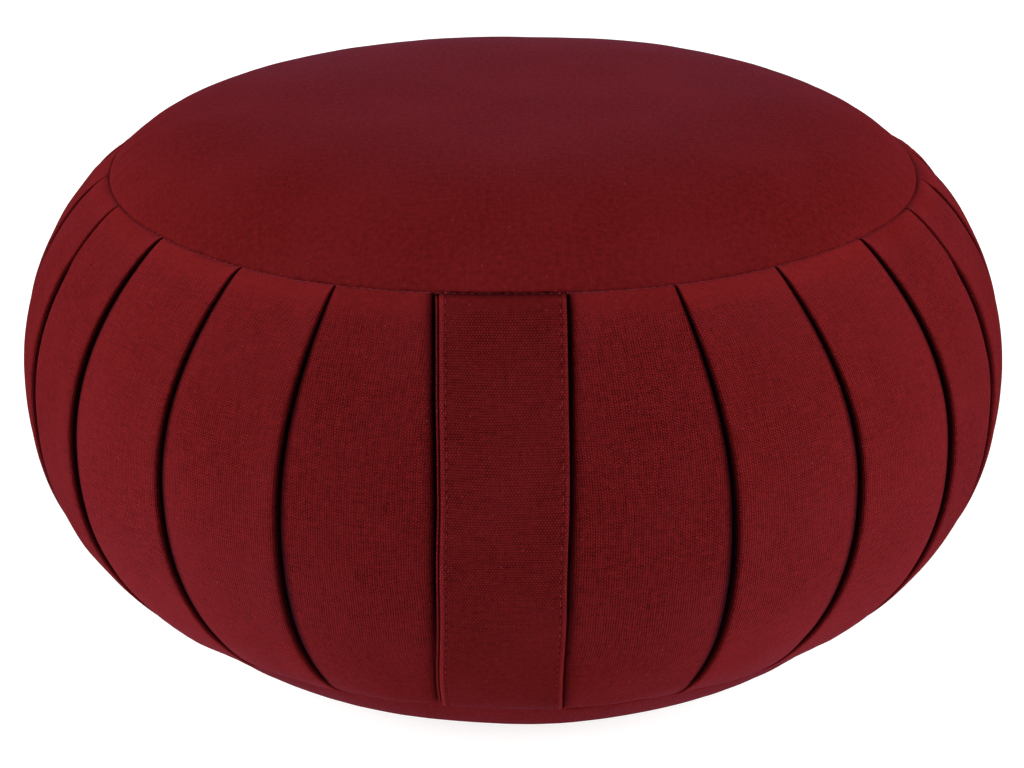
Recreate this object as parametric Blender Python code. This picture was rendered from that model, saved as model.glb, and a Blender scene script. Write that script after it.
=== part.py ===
"""Zafu: a round, firmly filled meditation cushion with a pleated side band.

The cushion stands on its base with +Z up and its origin at the middle of the
base, on the surface. -Y is the front, where the carry strap runs from the top
seam to the base seam. Lengths are in metres, and angles in degrees where the
name doesn't say otherwise.

The pieces, as a maker would cut and sew them:
  pleated_cushion  the filled body: crown, pleated side band and underside
  top_panel        the round top panel, stretched over the crown
  base_panel       the round base panel that the cushion rests on
  carry_strap      the folded strap, caught in both seams
"""

import math
from functools import lru_cache
from typing import NamedTuple

import bmesh
import bpy

# The turned outline of the filled cushion.
BELLY_RADIUS = 0.170            # the widest point of the side band
BELLY_HEIGHT = 0.0955           # how high the widest point stands
BELLY_SHARE = 0.46              # how far down the band it lies, from seam to seam
TOP_SEAM_RADIUS = 0.1387
TOP_SEAM_HEIGHT = 0.163
CROWN_RISE = 0.0225             # from the top seam to the middle of the top
CROWN_FLATNESS = 5.5            # a power: high is flat in the middle, steep at the seam
BASE_SEAM_RADIUS = 0.1355
BASE_SEAM_HEIGHT = 0.023
BASE_FLAT_RADIUS = 0.095        # the round face that touches the surface

# Fullness of the side band, as powers of a superellipse: 2 is round, 1 is straight.
SHOULDER_FULLNESS = (1.15, 2.05)    # from the top seam to the belly: outward, upward
FOOT_FULLNESS = (1.18, 2.30)        # from the belly to the base seam: outward, downward

# Cloth.
PANEL_THICKNESS = 0.0015
PANEL_DROP = 0.0024             # panel and its clearance, measured straight down
SEAM_GAP = 0.0003               # between a panel's rim and the side band

# Pleats: knife pleats, laid from the strap round to the back on both sides.
PLEATS_PER_SIDE = 11
FIRST_PLEAT_ANGLE = 21.0        # from the strap's middle line to the first pleat
PLEAT_DEPTH = 0.0075
PLEAT_ROLL = 0.0011             # how far the upper fold stands proud beside the slit
PLEAT_BOW = 3.5                 # how far a pleat bows away from the strap between the seams
PLEAT_LEAN = 1.2                # how much further from the strap it meets the base seam
BOW_FADE = 3                    # a power: how late both die out towards the back
PLEAT_END_SHARE = 0.45          # what a pleat's section keeps of its width at a seam
PANEL_FULLNESS = 0.0011         # how far a panel swells between two pleats
PANEL_COLUMNS = (0.36, 0.66)    # where a panel bends between its pleats
FRONT_PANEL_COLUMNS = (0.72, 0.85)      # the same beside the strap
FRONT_PANEL_SWELL = 0.8         # the strap holds down the panels beside it

# Across one pleat, from the panel nearer the strap to the one that laps over it.
PLEAT_SECTION = (
    # across the slit, share of the depth, share of the roll
    (-0.0060, 0.00, 0.0),
    (-0.0014, 0.06, 0.0),
    (-0.0008, 1.00, 0.0),
    (0.0008, 1.00, 0.0),
    (0.0016, 0.08, 0.8),
    (0.0050, 0.00, 1.0),
    (0.0120, 0.00, 0.3),
)

# Carry strap: canvas folded to a flat band and stitched along both edges.
STRAP_WIDTH = 0.039
STRAP_SHIFT = -0.001            # it is sewn on a little left of the middle
STRAP_THICKNESS = 0.0024
STRAP_END_THICKNESS = 0.0012    # where the seams squeeze it
STRAP_PROUD = 0.0008            # how far its face stands out of the side band
STRAP_EDGE_RADIUS = 0.0006
STRAP_GAP = 0.0003              # between the strap and the band below it
STRAP_SLITS = {-1: 0.0022, 1: 0.0014}   # width of the slit on its left and its right
STRAP_SLIT_DEPTH = 0.0050       # of those slits, below the side band
SLIT_WALL = 0.0002              # how far a slit's wall slants from its lip to its floor

# Across half the strap, from its middle to its edge and back on the inside.
STRAP_SECTION = (
    # share of half the width, edge radii in from there, share of the thickness
    (0.5, 0.0, 1.0),
    (1.0, 3.0, 1.0),
    (1.0, 0.3, 0.9),
    (1.0, 0.0, 0.5),
    (1.0, 1.0, 0.0),
    (0.5, 0.0, 0.0),
)

# Across half the channel that the strap lies in, from its middle to the side band.
CHANNEL_SECTION = (
    # share of half the strap, share of the slit, metres on, share of the depth, under the strap
    (0.5, 0.0, 0.0, 0.00, True),
    (1.0, 0.0, STRAP_GAP, 0.00, True),
    (1.0, 0.0, STRAP_GAP + SLIT_WALL, 1.00, True),
    (1.0, 1.0, -SLIT_WALL, 1.00, False),
    (1.0, 1.0, 0.0, 0.35, False),
    (1.0, 1.0, 0.0010, 0.04, False),
    (1.0, 1.0, 0.0035, 0.00, False),
)

# How uneven a hand-sewn, hand-filled cushion is.
SEAM_WAVES = (
    # height, waves round the seam, start in radians
    (0.00050, 3, 0.6),
    (0.00025, 7, 1.9),
)
BASE_WAVE_TURN = 0.63           # radians by which the base seam's wave is turned
STRAP_PULL = 0.0013             # the strap draws the base seam up at its left, down at its right
STRAP_PULL_REACH = 0.15         # radians from the strap's middle to where that is strongest
CROWN_LUMP = (0.0007, 2, -0.8)  # height, lumps round the top, start in radians
PLEAT_LINES = {
    # Left and right of the strap, for the pleats next to it: angle at the top
    # seam, angle at the base seam, and bow between them.
    -1: ((21.8, 22.9, 1.3), (36.1, 36.0, 3.0), (52.2, 54.3, 2.3), (67.9, 69.4, 0.8), (81.7, 82.7, 4.0)),
    1: ((21.2, 23.1, 1.5), (36.0, 36.4, 3.5), (52.6, 55.4, 2.7), (68.5, 70.1, 1.6), (82.8, 83.8, 4.0)),
}
PLEAT_WANDER = 0.35             # how far the pleats behind those stray
WANDER_STEP = 2.4               # radians of their stray from one pleat to the next

# How far from a seam each form reaches its full size, as a share of the band.
PLEAT_REACH = 0.16
STRAP_REACH = 0.12
STRAP_PROUD_REACH = 0.20

# Mesh density.
BAND_ROWS = 18
CLOTH_STEPS = 400               # steps in which the length of the cloth is measured
ROW_CROWDING = 0.55             # how far the rows crowd towards the seams
PANEL_SECTORS = 60
CROWN_RINGS = (1.0, 0.97, 0.91, 0.82, 0.68, 0.48, 0.24)
BASE_RINGS = (1.0, 0.96, 0.88, 0.79, BASE_FLAT_RADIUS / BASE_SEAM_RADIUS, 0.45)
SHARP_ANGLE = 50                # edges sharper than this are shaded sharp

CANVAS = ("cotton canvas", (0.118, 0.0080, 0.0095, 1.0), 0.92)
STRAP_CANVAS = ("folded cotton canvas", (0.110, 0.0080, 0.0090, 1.0), 0.90)


class PleatColumn(NamedTuple):
    """One line of points down the side band."""

    top: float                  # angle at the top seam, from the strap's middle line
    base: float                 # angle at the base seam
    bow: float                  # how far it bows away from the strap between them
    across: float = 0.0         # metres round the band from the slit
    sink: float = 0.0           # share of the pleat's depth
    roll: float = 0.0           # share of the fold's roll
    swell: float = 0.0          # share of the panel's fullness


# ---------------------------------------------------------------- the turned outline

def seam_ease(v, reach):
    """0 at both seams, 1 beyond a reach from them."""
    near = min(v, 1 - v) / reach
    return math.sin(min(near, 1.0) * math.pi / 2)


def seam_wave(angle):
    """Rise and fall of a sewn seam at an angle in radians."""
    return sum(height * math.sin(count * angle + start) for height, count, start in SEAM_WAVES)


def base_wave(angle):
    """The base seam's wave, with the pull of the strap at the front."""
    pull = math.remainder(angle, math.tau) / STRAP_PULL_REACH
    return seam_wave(angle + BASE_WAVE_TURN) - STRAP_PULL * pull * math.exp((1 - pull ** 2) / 2)


def top_seam_height(angle):
    return TOP_SEAM_HEIGHT + seam_wave(angle)


def base_seam_height(angle):
    return BASE_SEAM_HEIGHT + base_wave(angle)


def band_wave(v, angle):
    """The nearer seam's wave, dying out towards the belly."""
    wave = seam_wave(angle) if v < 0.5 else base_wave(angle)
    return wave * (1 - seam_ease(v, PLEAT_REACH))


def crown_height(share, angle):
    """Height of the top at a share of the seam's radius."""
    seam = top_seam_height(angle) * share ** 2 + TOP_SEAM_HEIGHT * (1 - share ** 2)
    dome = CROWN_RISE * (1 - share ** CROWN_FLATNESS)
    height, count, start = CROWN_LUMP
    lump = height * (1 - share ** 2) * share * math.sin(count * angle + start)
    return seam + dome + lump


def base_height(share, angle):
    """Height of the underside: flat in the middle, turned up towards the seam."""
    flat = BASE_FLAT_RADIUS / BASE_SEAM_RADIUS
    turned_up = max(share - flat, 0.0) / (1 - flat)
    return base_seam_height(angle) * turned_up ** 2


def band_point(v):
    """Radius and height of the side band, from the top seam (0) to the base seam (1).

    Also the direction, outward and upward, in which folds stand off it: its
    normal, turned straight up or down at the seams.
    """
    if v <= BELLY_SHARE:
        turn = v / BELLY_SHARE * math.pi / 2
        out_power, up_power = SHOULDER_FULLNESS
        seam_radius, seam_height = TOP_SEAM_RADIUS, TOP_SEAM_HEIGHT
    else:
        turn = (1 - v) / (1 - BELLY_SHARE) * math.pi / 2
        out_power, up_power = FOOT_FULLNESS
        seam_radius, seam_height = BASE_SEAM_RADIUS, BASE_SEAM_HEIGHT
    reach = BELLY_RADIUS - seam_radius
    rise = seam_height - BELLY_HEIGHT
    out = math.sin(turn) ** (2 / out_power)
    up = max(math.cos(turn), 0.0) ** (2 / up_power)
    # The normal of a superellipse follows the gradient of its own formula.
    grade_out = out ** (out_power - 1) / reach * seam_ease(v, PLEAT_REACH) ** 2
    grade_up = up ** (up_power - 1) / rise
    length = math.hypot(grade_out, grade_up)
    return seam_radius + reach * out, BELLY_HEIGHT + rise * up, grade_out / length, grade_up / length


@lru_cache(maxsize=None)
def cloth_lengths():
    """Lengths of cloth from the top seam down to evenly spaced places on the band."""
    lengths, last = [0.0], band_point(0.0)[:2]
    for step in range(1, CLOTH_STEPS + 1):
        point = band_point(step / CLOTH_STEPS)[:2]
        lengths.append(lengths[-1] + math.dist(last, point))
        last = point
    return lengths


def cloth_share(v):
    """How far along the cloth between the seams a place on the band lies."""
    lengths = cloth_lengths()
    step = min(int(v * CLOTH_STEPS), CLOTH_STEPS - 1)
    part = v * CLOTH_STEPS - step
    return (lengths[step] + (lengths[step + 1] - lengths[step]) * part) / lengths[-1]


def row_share(row):
    """How far down the band a row lies; the rows crowd towards both seams."""
    even = row / BAND_ROWS
    crowded = (1 - math.cos(math.pi * even)) / 2
    return even + (crowded - even) * ROW_CROWDING


def place(radius, height, angle):
    """A point at an angle in radians from the front, counted towards +X."""
    return (radius * math.sin(angle), -radius * math.cos(angle), height)


def off_band(v, turn, offset):
    """A point at a distance off the side band, at a row and an angle in radians."""
    radius, height, out, up = band_point(v)
    return place(radius + out * offset, height + up * offset + band_wave(v, turn), turn)


# ---------------------------------------------------------------- columns of the side band

def pleat_lines(side):
    """Angles at the top and base seam, and bow, of each pleat of one side."""
    spacing = (360 - 2 * FIRST_PLEAT_ANGLE) / (2 * PLEATS_PER_SIDE - 1)
    lines = list(PLEAT_LINES[side])
    for number in range(len(lines), PLEATS_PER_SIDE):
        stray = PLEAT_WANDER * math.sin(WANDER_STEP * number + side)
        angle = FIRST_PLEAT_ANGLE + number * spacing + stray
        fade = 1 - (number / PLEATS_PER_SIDE) ** BOW_FADE
        lines.append((angle, angle + PLEAT_LEAN * fade, PLEAT_BOW * fade))
    return lines


def pleat_columns(side):
    """Columns of one side, from beside the strap to the last pleat at the back."""
    columns = []
    last = (0.0, 0.0, 0.0)
    parts, swell = FRONT_PANEL_COLUMNS, FRONT_PANEL_SWELL
    for line in pleat_lines(side):
        for part in parts:
            between = (before + (after - before) * part for before, after in zip(last, line))
            columns.append(PleatColumn(*between, swell=swell))
        for across, sink, roll in PLEAT_SECTION:
            columns.append(PleatColumn(*line, across, sink, roll))
        last = line
        parts, swell = PANEL_COLUMNS, 1.0
    return columns


def band_surface(v, side, column):
    """Point of the pleated band at a row and a pleat column."""
    share = cloth_share(v)
    belly = math.sin(math.pi * share)
    narrow = PLEAT_END_SHARE + (1 - PLEAT_END_SHARE) * belly
    across = column.across * narrow / band_point(v)[0]
    angle = column.top + (column.base - column.top) * share + column.bow * belly
    turn = math.radians(angle) + across
    ease = seam_ease(v, PLEAT_REACH)
    raised = (PLEAT_ROLL * column.roll + PANEL_FULLNESS * column.swell) * ease
    return off_band(v, side * turn, raised - PLEAT_DEPTH * column.sink * ease ** 2)


def strap_lift(v):
    """How far the strap's inner and outer face lie off the side band."""
    swell = (STRAP_THICKNESS - STRAP_END_THICKNESS) * seam_ease(v, STRAP_REACH)
    outer = STRAP_PROUD * seam_ease(v, STRAP_PROUD_REACH)
    return outer - STRAP_END_THICKNESS - swell, outer


def channel_surface(v, side, column):
    """Point of the strap's channel at a row and a row of its section."""
    strap_share, slit_share, further, sink, under = column
    across = strap_share * STRAP_WIDTH / 2 + slit_share * STRAP_SLITS[side] + further
    turn = (side * across + STRAP_SHIFT) / band_point(v)[0]
    bed = strap_lift(v)[0] - STRAP_GAP
    floor = min(bed, -STRAP_SLIT_DEPTH * seam_ease(v, PLEAT_REACH) ** 2)
    level = bed if under else 0.0
    return off_band(v, turn, level * (1 - sink) + floor * sink)


def band_ring(v):
    """All points of one row, once round the cushion from the strap's middle."""
    front = off_band(v, STRAP_SHIFT / band_point(v)[0], strap_lift(v)[0] - STRAP_GAP)
    back = band_surface(v, 1, PleatColumn(180.0, 180.0, 0.0, swell=1.0))
    halves = {}
    for side in (1, -1):
        halves[side] = [channel_surface(v, side, column) for column in CHANNEL_SECTION]
        halves[side] += [band_surface(v, side, column) for column in pleat_columns(side)]
    return [front, *halves[1], back, *reversed(halves[-1])]


# ---------------------------------------------------------------- mesh building

def add_ring(mesh, points):
    return [mesh.verts.new(point) for point in points]


def bridge(mesh, upper, lower):
    """Quads between two rings of the same count, facing out with the upper one above."""
    count = len(upper)
    for i in range(count):
        j = (i + 1) % count
        mesh.faces.new((upper[i], lower[i], lower[j], upper[j]))


def ring_turn(vert):
    """Share of a full turn from the front towards +X."""
    return (math.atan2(vert.co.x, -vert.co.y) / (2 * math.pi)) % 1


def step_across(mesh, fine, coarse, facing_up):
    """Triangles between a fine ring and a coarser one inside it."""
    count, sectors = len(fine), len(coarse)
    turns = [ring_turn(vert) for vert in fine]
    marks = []
    for k in range(sectors):
        want = k / sectors
        marks.append(min(range(count), key=lambda i: abs((turns[i] - want + 0.5) % 1 - 0.5)))
    for k in range(sectors):
        start, stop = marks[k], marks[(k + 1) % sectors]
        if stop <= start:
            stop += count
        near, far = coarse[k], coarse[(k + 1) % sectors]
        middle = (start + stop) // 2
        faces = [(fine[middle % count], far, near)]
        for i in range(start, stop):
            corner = near if i < middle else far
            faces.append((fine[i % count], fine[(i + 1) % count], corner))
        for face in faces:
            mesh.faces.new(face if facing_up else face[::-1])


def disc_ring(radius, share, height, drop):
    """Ring of a round panel: its surface at a share of its radius, moved up by a drop."""
    points = []
    for k in range(PANEL_SECTORS):
        angle = 2 * math.pi * k / PANEL_SECTORS
        points.append(place(radius * share, height(share, angle) + drop, angle))
    return points


def close_disc(mesh, ring, height, drop, facing_up):
    """Triangles from the innermost ring to the middle."""
    middle = mesh.verts.new((0.0, 0.0, height(0.0, 0.0) + drop))
    count = len(ring)
    for i in range(count):
        j = (i + 1) % count
        face = (middle, ring[i], ring[j]) if facing_up else (middle, ring[j], ring[i])
        mesh.faces.new(face)


def panel_surface(mesh, radius, shares, height, drop, facing_up):
    """One face of a round panel; returns its outermost ring."""
    rings = [add_ring(mesh, disc_ring(radius, share, height, drop)) for share in shares]
    for outer, inner in zip(rings, rings[1:]):
        if facing_up:
            bridge(mesh, inner, outer)
        else:
            bridge(mesh, outer, inner)
    close_disc(mesh, rings[-1], height, drop, facing_up)
    return rings[0]


def rim_below(mesh, ring, radius, height, drop):
    """The ring straight below or above a seam, where the filling meets its panel."""
    points = []
    for vert in ring:
        angle = 2 * math.pi * ring_turn(vert)
        points.append(place(radius, height(angle) + drop, angle))
    return add_ring(mesh, points)


def cloth_material(name, finish):
    """Matt woven cloth in one colour."""
    label, colour, roughness = finish
    material = bpy.data.materials.new(f"{label} of {name}")
    material.use_nodes = True
    shader = material.node_tree.nodes["Principled BSDF"]
    shader.inputs["Base Color"].default_value = colour
    shader.inputs["Roughness"].default_value = roughness
    shader.inputs["Metallic"].default_value = 0.0
    return material


def finish_object(name, mesh, finish):
    """Turn a bmesh into a named object with its own material, smooth but for sharp edges."""
    data = bpy.data.meshes.new(name)
    mesh.normal_update()
    mesh.to_mesh(data)
    mesh.free()
    data.shade_smooth()
    data.set_sharp_from_angle(angle=math.radians(SHARP_ANGLE))
    data.materials.append(cloth_material(name, finish))
    made = bpy.data.objects.new(name, data)
    bpy.context.collection.objects.link(made)
    return made


# ---------------------------------------------------------------- the pieces

def build_cushion():
    """The filled body: crown under the top panel, pleated band and underside."""
    mesh = bmesh.new()
    rings = [add_ring(mesh, band_ring(row_share(row))) for row in range(BAND_ROWS + 1)]
    for upper, lower in zip(rings, rings[1:]):
        bridge(mesh, upper, lower)

    # A step down at the top seam makes room for the top panel.
    rim = rim_below(mesh, rings[0], TOP_SEAM_RADIUS, top_seam_height, -PANEL_DROP)
    bridge(mesh, rim, rings[0])
    inner = panel_surface(mesh, TOP_SEAM_RADIUS, CROWN_RINGS[1:], crown_height, -PANEL_DROP, True)
    step_across(mesh, rim, inner, True)

    # And a step up at the base seam makes room for the base panel.
    rim = rim_below(mesh, rings[-1], BASE_SEAM_RADIUS, base_seam_height, PANEL_DROP)
    bridge(mesh, rings[-1], rim)
    inner = panel_surface(mesh, BASE_SEAM_RADIUS, BASE_RINGS[1:], base_height, PANEL_DROP, False)
    step_across(mesh, rim, inner, False)
    return finish_object("pleated_cushion", mesh, CANVAS)


def build_panel(name, radius, shares, height, facing_up):
    """A round panel of cloth with an even thickness, measured straight down."""
    mesh = bmesh.new()
    rim = radius - SEAM_GAP
    into = -PANEL_THICKNESS if facing_up else PANEL_THICKNESS
    outside = panel_surface(mesh, rim, shares, height, 0.0, facing_up)
    inside = panel_surface(mesh, rim, shares, height, into, not facing_up)
    upper, lower = (outside, inside) if facing_up else (inside, outside)
    bridge(mesh, upper, lower)
    return finish_object(name, mesh, CANVAS)


def strap_ring(v):
    """Points once round the strap at a row of the band, from the middle of its face."""
    inner, outer = strap_lift(v)
    right = []
    for width_share, radii, thick_share in STRAP_SECTION:
        across = width_share * STRAP_WIDTH / 2 - radii * STRAP_EDGE_RADIUS
        right.append((across, inner + (outer - inner) * thick_share))
    left = [(-across, offset) for across, offset in reversed(right)]
    outline = [(0.0, outer), *right, (0.0, inner), *left]
    radius = band_point(v)[0]
    return [off_band(v, (across + STRAP_SHIFT) / radius, offset) for across, offset in outline]


def close_strap_end(mesh, ring, facing_up):
    """Quads through the strap's thickness, from its middle line to both edges."""
    half = len(ring) // 2
    for k in range(half // 2):
        right = (ring[k], ring[k + 1], ring[half - k - 1], ring[half - k])
        left = (ring[half + k], ring[half + k + 1], ring[-k - 1], ring[-k])
        for face in (right, left):
            mesh.faces.new(face if facing_up else face[::-1])


def build_strap():
    """The strap follows the band's own rows, from just below one seam to just above the other."""
    mesh = bmesh.new()
    rings = [add_ring(mesh, strap_ring(row_share(row))) for row in range(1, BAND_ROWS)]
    for upper, lower in zip(rings, rings[1:]):
        bridge(mesh, upper, lower)
    close_strap_end(mesh, rings[0], True)
    close_strap_end(mesh, rings[-1], False)
    return finish_object("carry_strap", mesh, STRAP_CANVAS)


def main():
    for old in list(bpy.data.objects):
        bpy.data.objects.remove(old, do_unlink=True)
    build_cushion()
    build_panel("top_panel", TOP_SEAM_RADIUS, CROWN_RINGS, crown_height, True)
    build_panel("base_panel", BASE_SEAM_RADIUS, BASE_RINGS, base_height, False)
    build_strap()


main()
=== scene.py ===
"""Looks of a zafu: a round, filled meditation cushion with a pleated side band.

The cushion stands on its base with +Z up. -Y is the front, where the carry
strap runs from the top seam to the base seam. Lengths are in metres. Angles
round the cushion are in radians, counted from the front towards +X.

Every piece of cloth lies where its CAD solid is: the turned outline, the seams
and the pleat lines repeat the sizes of the solids.
"""

import logging
import math
from dataclasses import dataclass, field
from enum import Enum

import bpy
import numpy as np
from mathutils import Matrix, Vector

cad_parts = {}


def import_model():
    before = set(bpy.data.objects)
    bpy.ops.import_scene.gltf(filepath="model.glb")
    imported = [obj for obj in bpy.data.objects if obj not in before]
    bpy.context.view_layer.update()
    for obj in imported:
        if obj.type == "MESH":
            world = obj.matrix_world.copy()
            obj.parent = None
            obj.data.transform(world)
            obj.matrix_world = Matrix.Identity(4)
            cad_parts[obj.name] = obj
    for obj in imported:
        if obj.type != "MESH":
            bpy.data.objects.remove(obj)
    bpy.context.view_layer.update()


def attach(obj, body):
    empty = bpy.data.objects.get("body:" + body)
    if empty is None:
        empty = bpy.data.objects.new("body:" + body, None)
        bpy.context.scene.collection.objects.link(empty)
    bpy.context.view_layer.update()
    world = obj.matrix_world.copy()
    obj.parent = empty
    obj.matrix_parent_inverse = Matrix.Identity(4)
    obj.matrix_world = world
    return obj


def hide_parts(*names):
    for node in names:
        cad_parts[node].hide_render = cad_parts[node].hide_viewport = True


LOG = logging.getLogger("zafu")
Array = np.ndarray
BODY = "root"
IMAGE_WIDTH = 1024
SENSOR_WIDTH = 36.0
CLOTH_MAP = "cloth"             # UV map in metres of cloth, across and along the grain
PAINTED_LIGHT_AND_WEAR = "wear_and_painted_light_attribute"                     # above 0 wear, and painted light on the side panels and below the top seam; below 0 painted shade in folds, gaps and seams
UP = (0.0, 0.0, 1.0)
FINE = np.linspace(0.0, 1.0, 4001)      # places down the band, to measure along it


class Side(Enum):
    """Side of the strap; the value is its sign in X."""

    LEFT = -1
    RIGHT = 1


class Face(Enum):
    """Which end of the cushion a round panel closes; the value is its sign in Z."""

    TOP = 1
    BASE = -1


# ---------------------------------------------------------------- small helpers

def linear(colour: str) -> tuple[float, float, float, float]:
    """Turn an sRGB hex colour into linear values.

    Args:
        colour: six hex digits.

    Returns:
        Linear red, green, blue and an alpha of one.
    """
    parts = (int(colour[i:i + 2], 16) / 255 for i in (0, 2, 4))
    values = [c / 12.92 if c <= 0.04045 else ((c + 0.055) / 1.055) ** 2.4 for c in parts]
    return (*values, 1.0)


def add_node(
    tree: bpy.types.NodeTree, kind: str, inputs: dict | None = None, **settings: object
) -> bpy.types.Node:
    """Add a node with its settings, and link or set its inputs.

    Args:
        tree: the node tree it goes into.
        kind: the node's type.
        inputs: for an input's name or number, a socket to link, a node whose
            first output is linked, or a value to set.
        **settings: properties of the node.

    Returns:
        The new node.
    """
    node = tree.nodes.new(kind)
    for name, value in settings.items():
        setattr(node, name, value)
    for key, value in (inputs or {}).items():
        if isinstance(value, bpy.types.Node):
            value = value.outputs[0]
        if isinstance(value, bpy.types.NodeSocket):
            tree.links.new(value, node.inputs[key])
        else:
            node.inputs[key].default_value = value
    return node


def new_material(name: str) -> tuple[bpy.types.Material, bpy.types.NodeTree]:
    """Make a material whose node tree is empty."""
    made = bpy.data.materials.new(name)
    made.use_nodes = True
    made.node_tree.nodes.clear()
    return made, made.node_tree


def add_object(name: str, data: bpy.types.ID) -> bpy.types.Object:
    """Put a mesh, a light or a camera into the scene."""
    made = bpy.data.objects.new(name, data)
    bpy.context.scene.collection.objects.link(made)
    return made


def rounded_table(
    places: Array, rows: tuple[tuple[float, float], ...], spread: float = 0.06
) -> Array:
    """Values between the rows of a table, with its corners rounded off.

    Args:
        places: where values are wanted, from 0 to 1.
        rows: (place, value) pairs.
        spread: how wide a corner is rounded.

    Returns:
        One value for each place.
    """
    count = 800
    fine = np.linspace(0.0, 1.0, count + 1)
    rough = np.interp(fine, *zip(*rows))
    reach = max(int(spread * count), 2)
    window = np.hanning(2 * reach + 1)
    smooth = np.convolve(np.pad(rough, reach, mode="edge"), window / window.sum(), mode="valid")
    return np.interp(places, fine, smooth)


def ring_noise(turn: Array, waves: tuple[int, int], count: int, seed: int) -> Array:
    """Uneven ripples round the cushion that close on themselves.

    Args:
        turn: angles in radians.
        waves: fewest and most ripples in a full turn.
        count: how many ripples are summed.
        seed: seed of their heights and starts.

    Returns:
        Values of about -1 to 1.
    """
    draw = np.random.default_rng(seed)
    total = np.zeros_like(turn, dtype=float)
    for number in draw.integers(waves[0], waves[1] + 1, count):
        total += draw.uniform(0.5, 1.0) * np.sin(int(number) * turn + draw.uniform(0, math.tau))
    return total / math.sqrt(count)


def spline_sample(grid: Array, rows: Array, columns: Array) -> Array:
    """Smooth values between the points of a grid whose columns close into a ring.

    Args:
        grid: values by row and column.
        rows: wanted places, in rows.
        columns: wanted places, in columns, of the same shape.

    Returns:
        Values of a cubic B-spline with the grid as its net.
    """
    first_row, first_column = np.floor(rows).astype(int), np.floor(columns).astype(int)

    def weights(t: Array) -> tuple[Array, Array, Array, Array]:
        """The four weights of a cubic B-spline."""
        return (
            (1 - t) ** 3 / 6,
            (3 * t ** 3 - 6 * t ** 2 + 4) / 6,
            (-3 * t ** 3 + 3 * t ** 2 + 3 * t + 1) / 6,
            t ** 3 / 6,
        )

    total = np.zeros(np.broadcast(rows, columns).shape)
    for i, row_weight in enumerate(weights(rows - first_row)):
        row = np.clip(first_row + i - 1, 0, grid.shape[0] - 1)
        for j, column_weight in enumerate(weights(columns - first_column)):
            column = (first_column + j - 1) % grid.shape[1]
            total += row_weight * column_weight * grid[row, column]
    return total


class PieceMesh:
    """Gathers the points, faces and cloth coordinates of one piece."""

    def __init__(self) -> None:
        """Start with nothing."""
        self.points: list[Array] = []
        self.wear_and_painted_light: list[Array] = []
        self.faces: list[list[int]] = []
        self.cloth: list[tuple[float, float]] = []
        self.count = 0

    def add_points(self, points: Array, wear_and_painted_light: Array | float = 0.0) -> Array:
        """Add points of any grid shape.

        Args:
            points: array whose last axis is X, Y, Z.
            wear_and_painted_light: how worn each point is, with its painted light and painted
                shade.

        Returns:
            The numbers of the points, in the grid's shape.
        """
        shape = points.shape[:-1]
        size = int(np.prod(shape))
        self.points.append(points.reshape(size, 3))
        self.wear_and_painted_light.append(np.broadcast_to(wear_and_painted_light, shape).reshape(size))
        numbers = np.arange(self.count, self.count + size).reshape(shape)
        self.count += size
        return numbers

    def add_quads(self, corners: Array, cloth: Array) -> None:
        """Add four-sided faces.

        Args:
            corners: point numbers, of shape (..., 4).
            cloth: cloth coordinates of those corners, of shape (..., 4, 2).
        """
        self.faces.extend(corners.reshape(-1, 4).tolist())
        self.cloth.extend(cloth.reshape(-1, 2).tolist())

    def add_grid(self, numbers: Array, cloth: Array, closed: bool, flip: bool) -> None:
        """Add the faces of a grid of points.

        Args:
            numbers: point numbers by row and column.
            cloth: cloth coordinates by row and column.
            closed: whether the last column joins the first.
            flip: whether the faces look the other way.
        """
        if closed:
            numbers = np.concatenate([numbers, numbers[:, :1]], axis=1)
            cloth = np.concatenate([cloth, cloth[:, :1]], axis=1)
        order = ((0, 0), (1, 0), (1, 1), (0, 1))
        if flip:
            order = order[::-1]
        rows, columns = numbers.shape[0] - 1, numbers.shape[1] - 1
        corners = np.stack([numbers[i:i + rows, j:j + columns] for i, j in order], axis=-1)
        where = np.stack([cloth[i:i + rows, j:j + columns] for i, j in order], axis=-2)
        self.add_quads(corners, where)

    def add_fan(self, ring: Array, middle: Array, cloth: Array, centre: Array, flip: bool) -> None:
        """Close a ring with triangles to a point in its middle.

        Args:
            ring: the ring's point numbers.
            middle: place of the middle point.
            cloth: the ring's cloth coordinates.
            centre: the middle's cloth coordinates.
            flip: whether the faces look the other way.
        """
        hub = int(self.add_points(middle.reshape(1, 3))[0])
        count = len(ring)
        for i in range(count):
            j = (i + 1) % count
            near, far = (j, i) if flip else (i, j)
            self.faces.append([int(ring[near]), int(ring[far]), hub])
            self.cloth.extend([tuple(cloth[near]), tuple(cloth[far]), tuple(centre)])

    def build(self, name: str, material: bpy.types.Material) -> bpy.types.Object:
        """Make the object.

        Args:
            name: the piece's name.
            material: its finish.

        Returns:
            A smooth-shaded mesh object at the origin.
        """
        mesh = bpy.data.meshes.new(name)
        mesh.from_pydata(np.concatenate(self.points).tolist(), [], self.faces)
        layer = mesh.uv_layers.new(name=CLOTH_MAP)
        layer.uv.foreach_set("vector", np.asarray(self.cloth, dtype=np.float32).ravel())
        attribute = mesh.attributes.new(PAINTED_LIGHT_AND_WEAR, "FLOAT", "POINT")
        attribute.data.foreach_set("value", np.concatenate(self.wear_and_painted_light).astype(np.float32))
        mesh.shade_smooth()
        mesh.materials.append(material)
        return add_object(name, mesh)


# ---------------------------------------------------------------- the cushion's form

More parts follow.
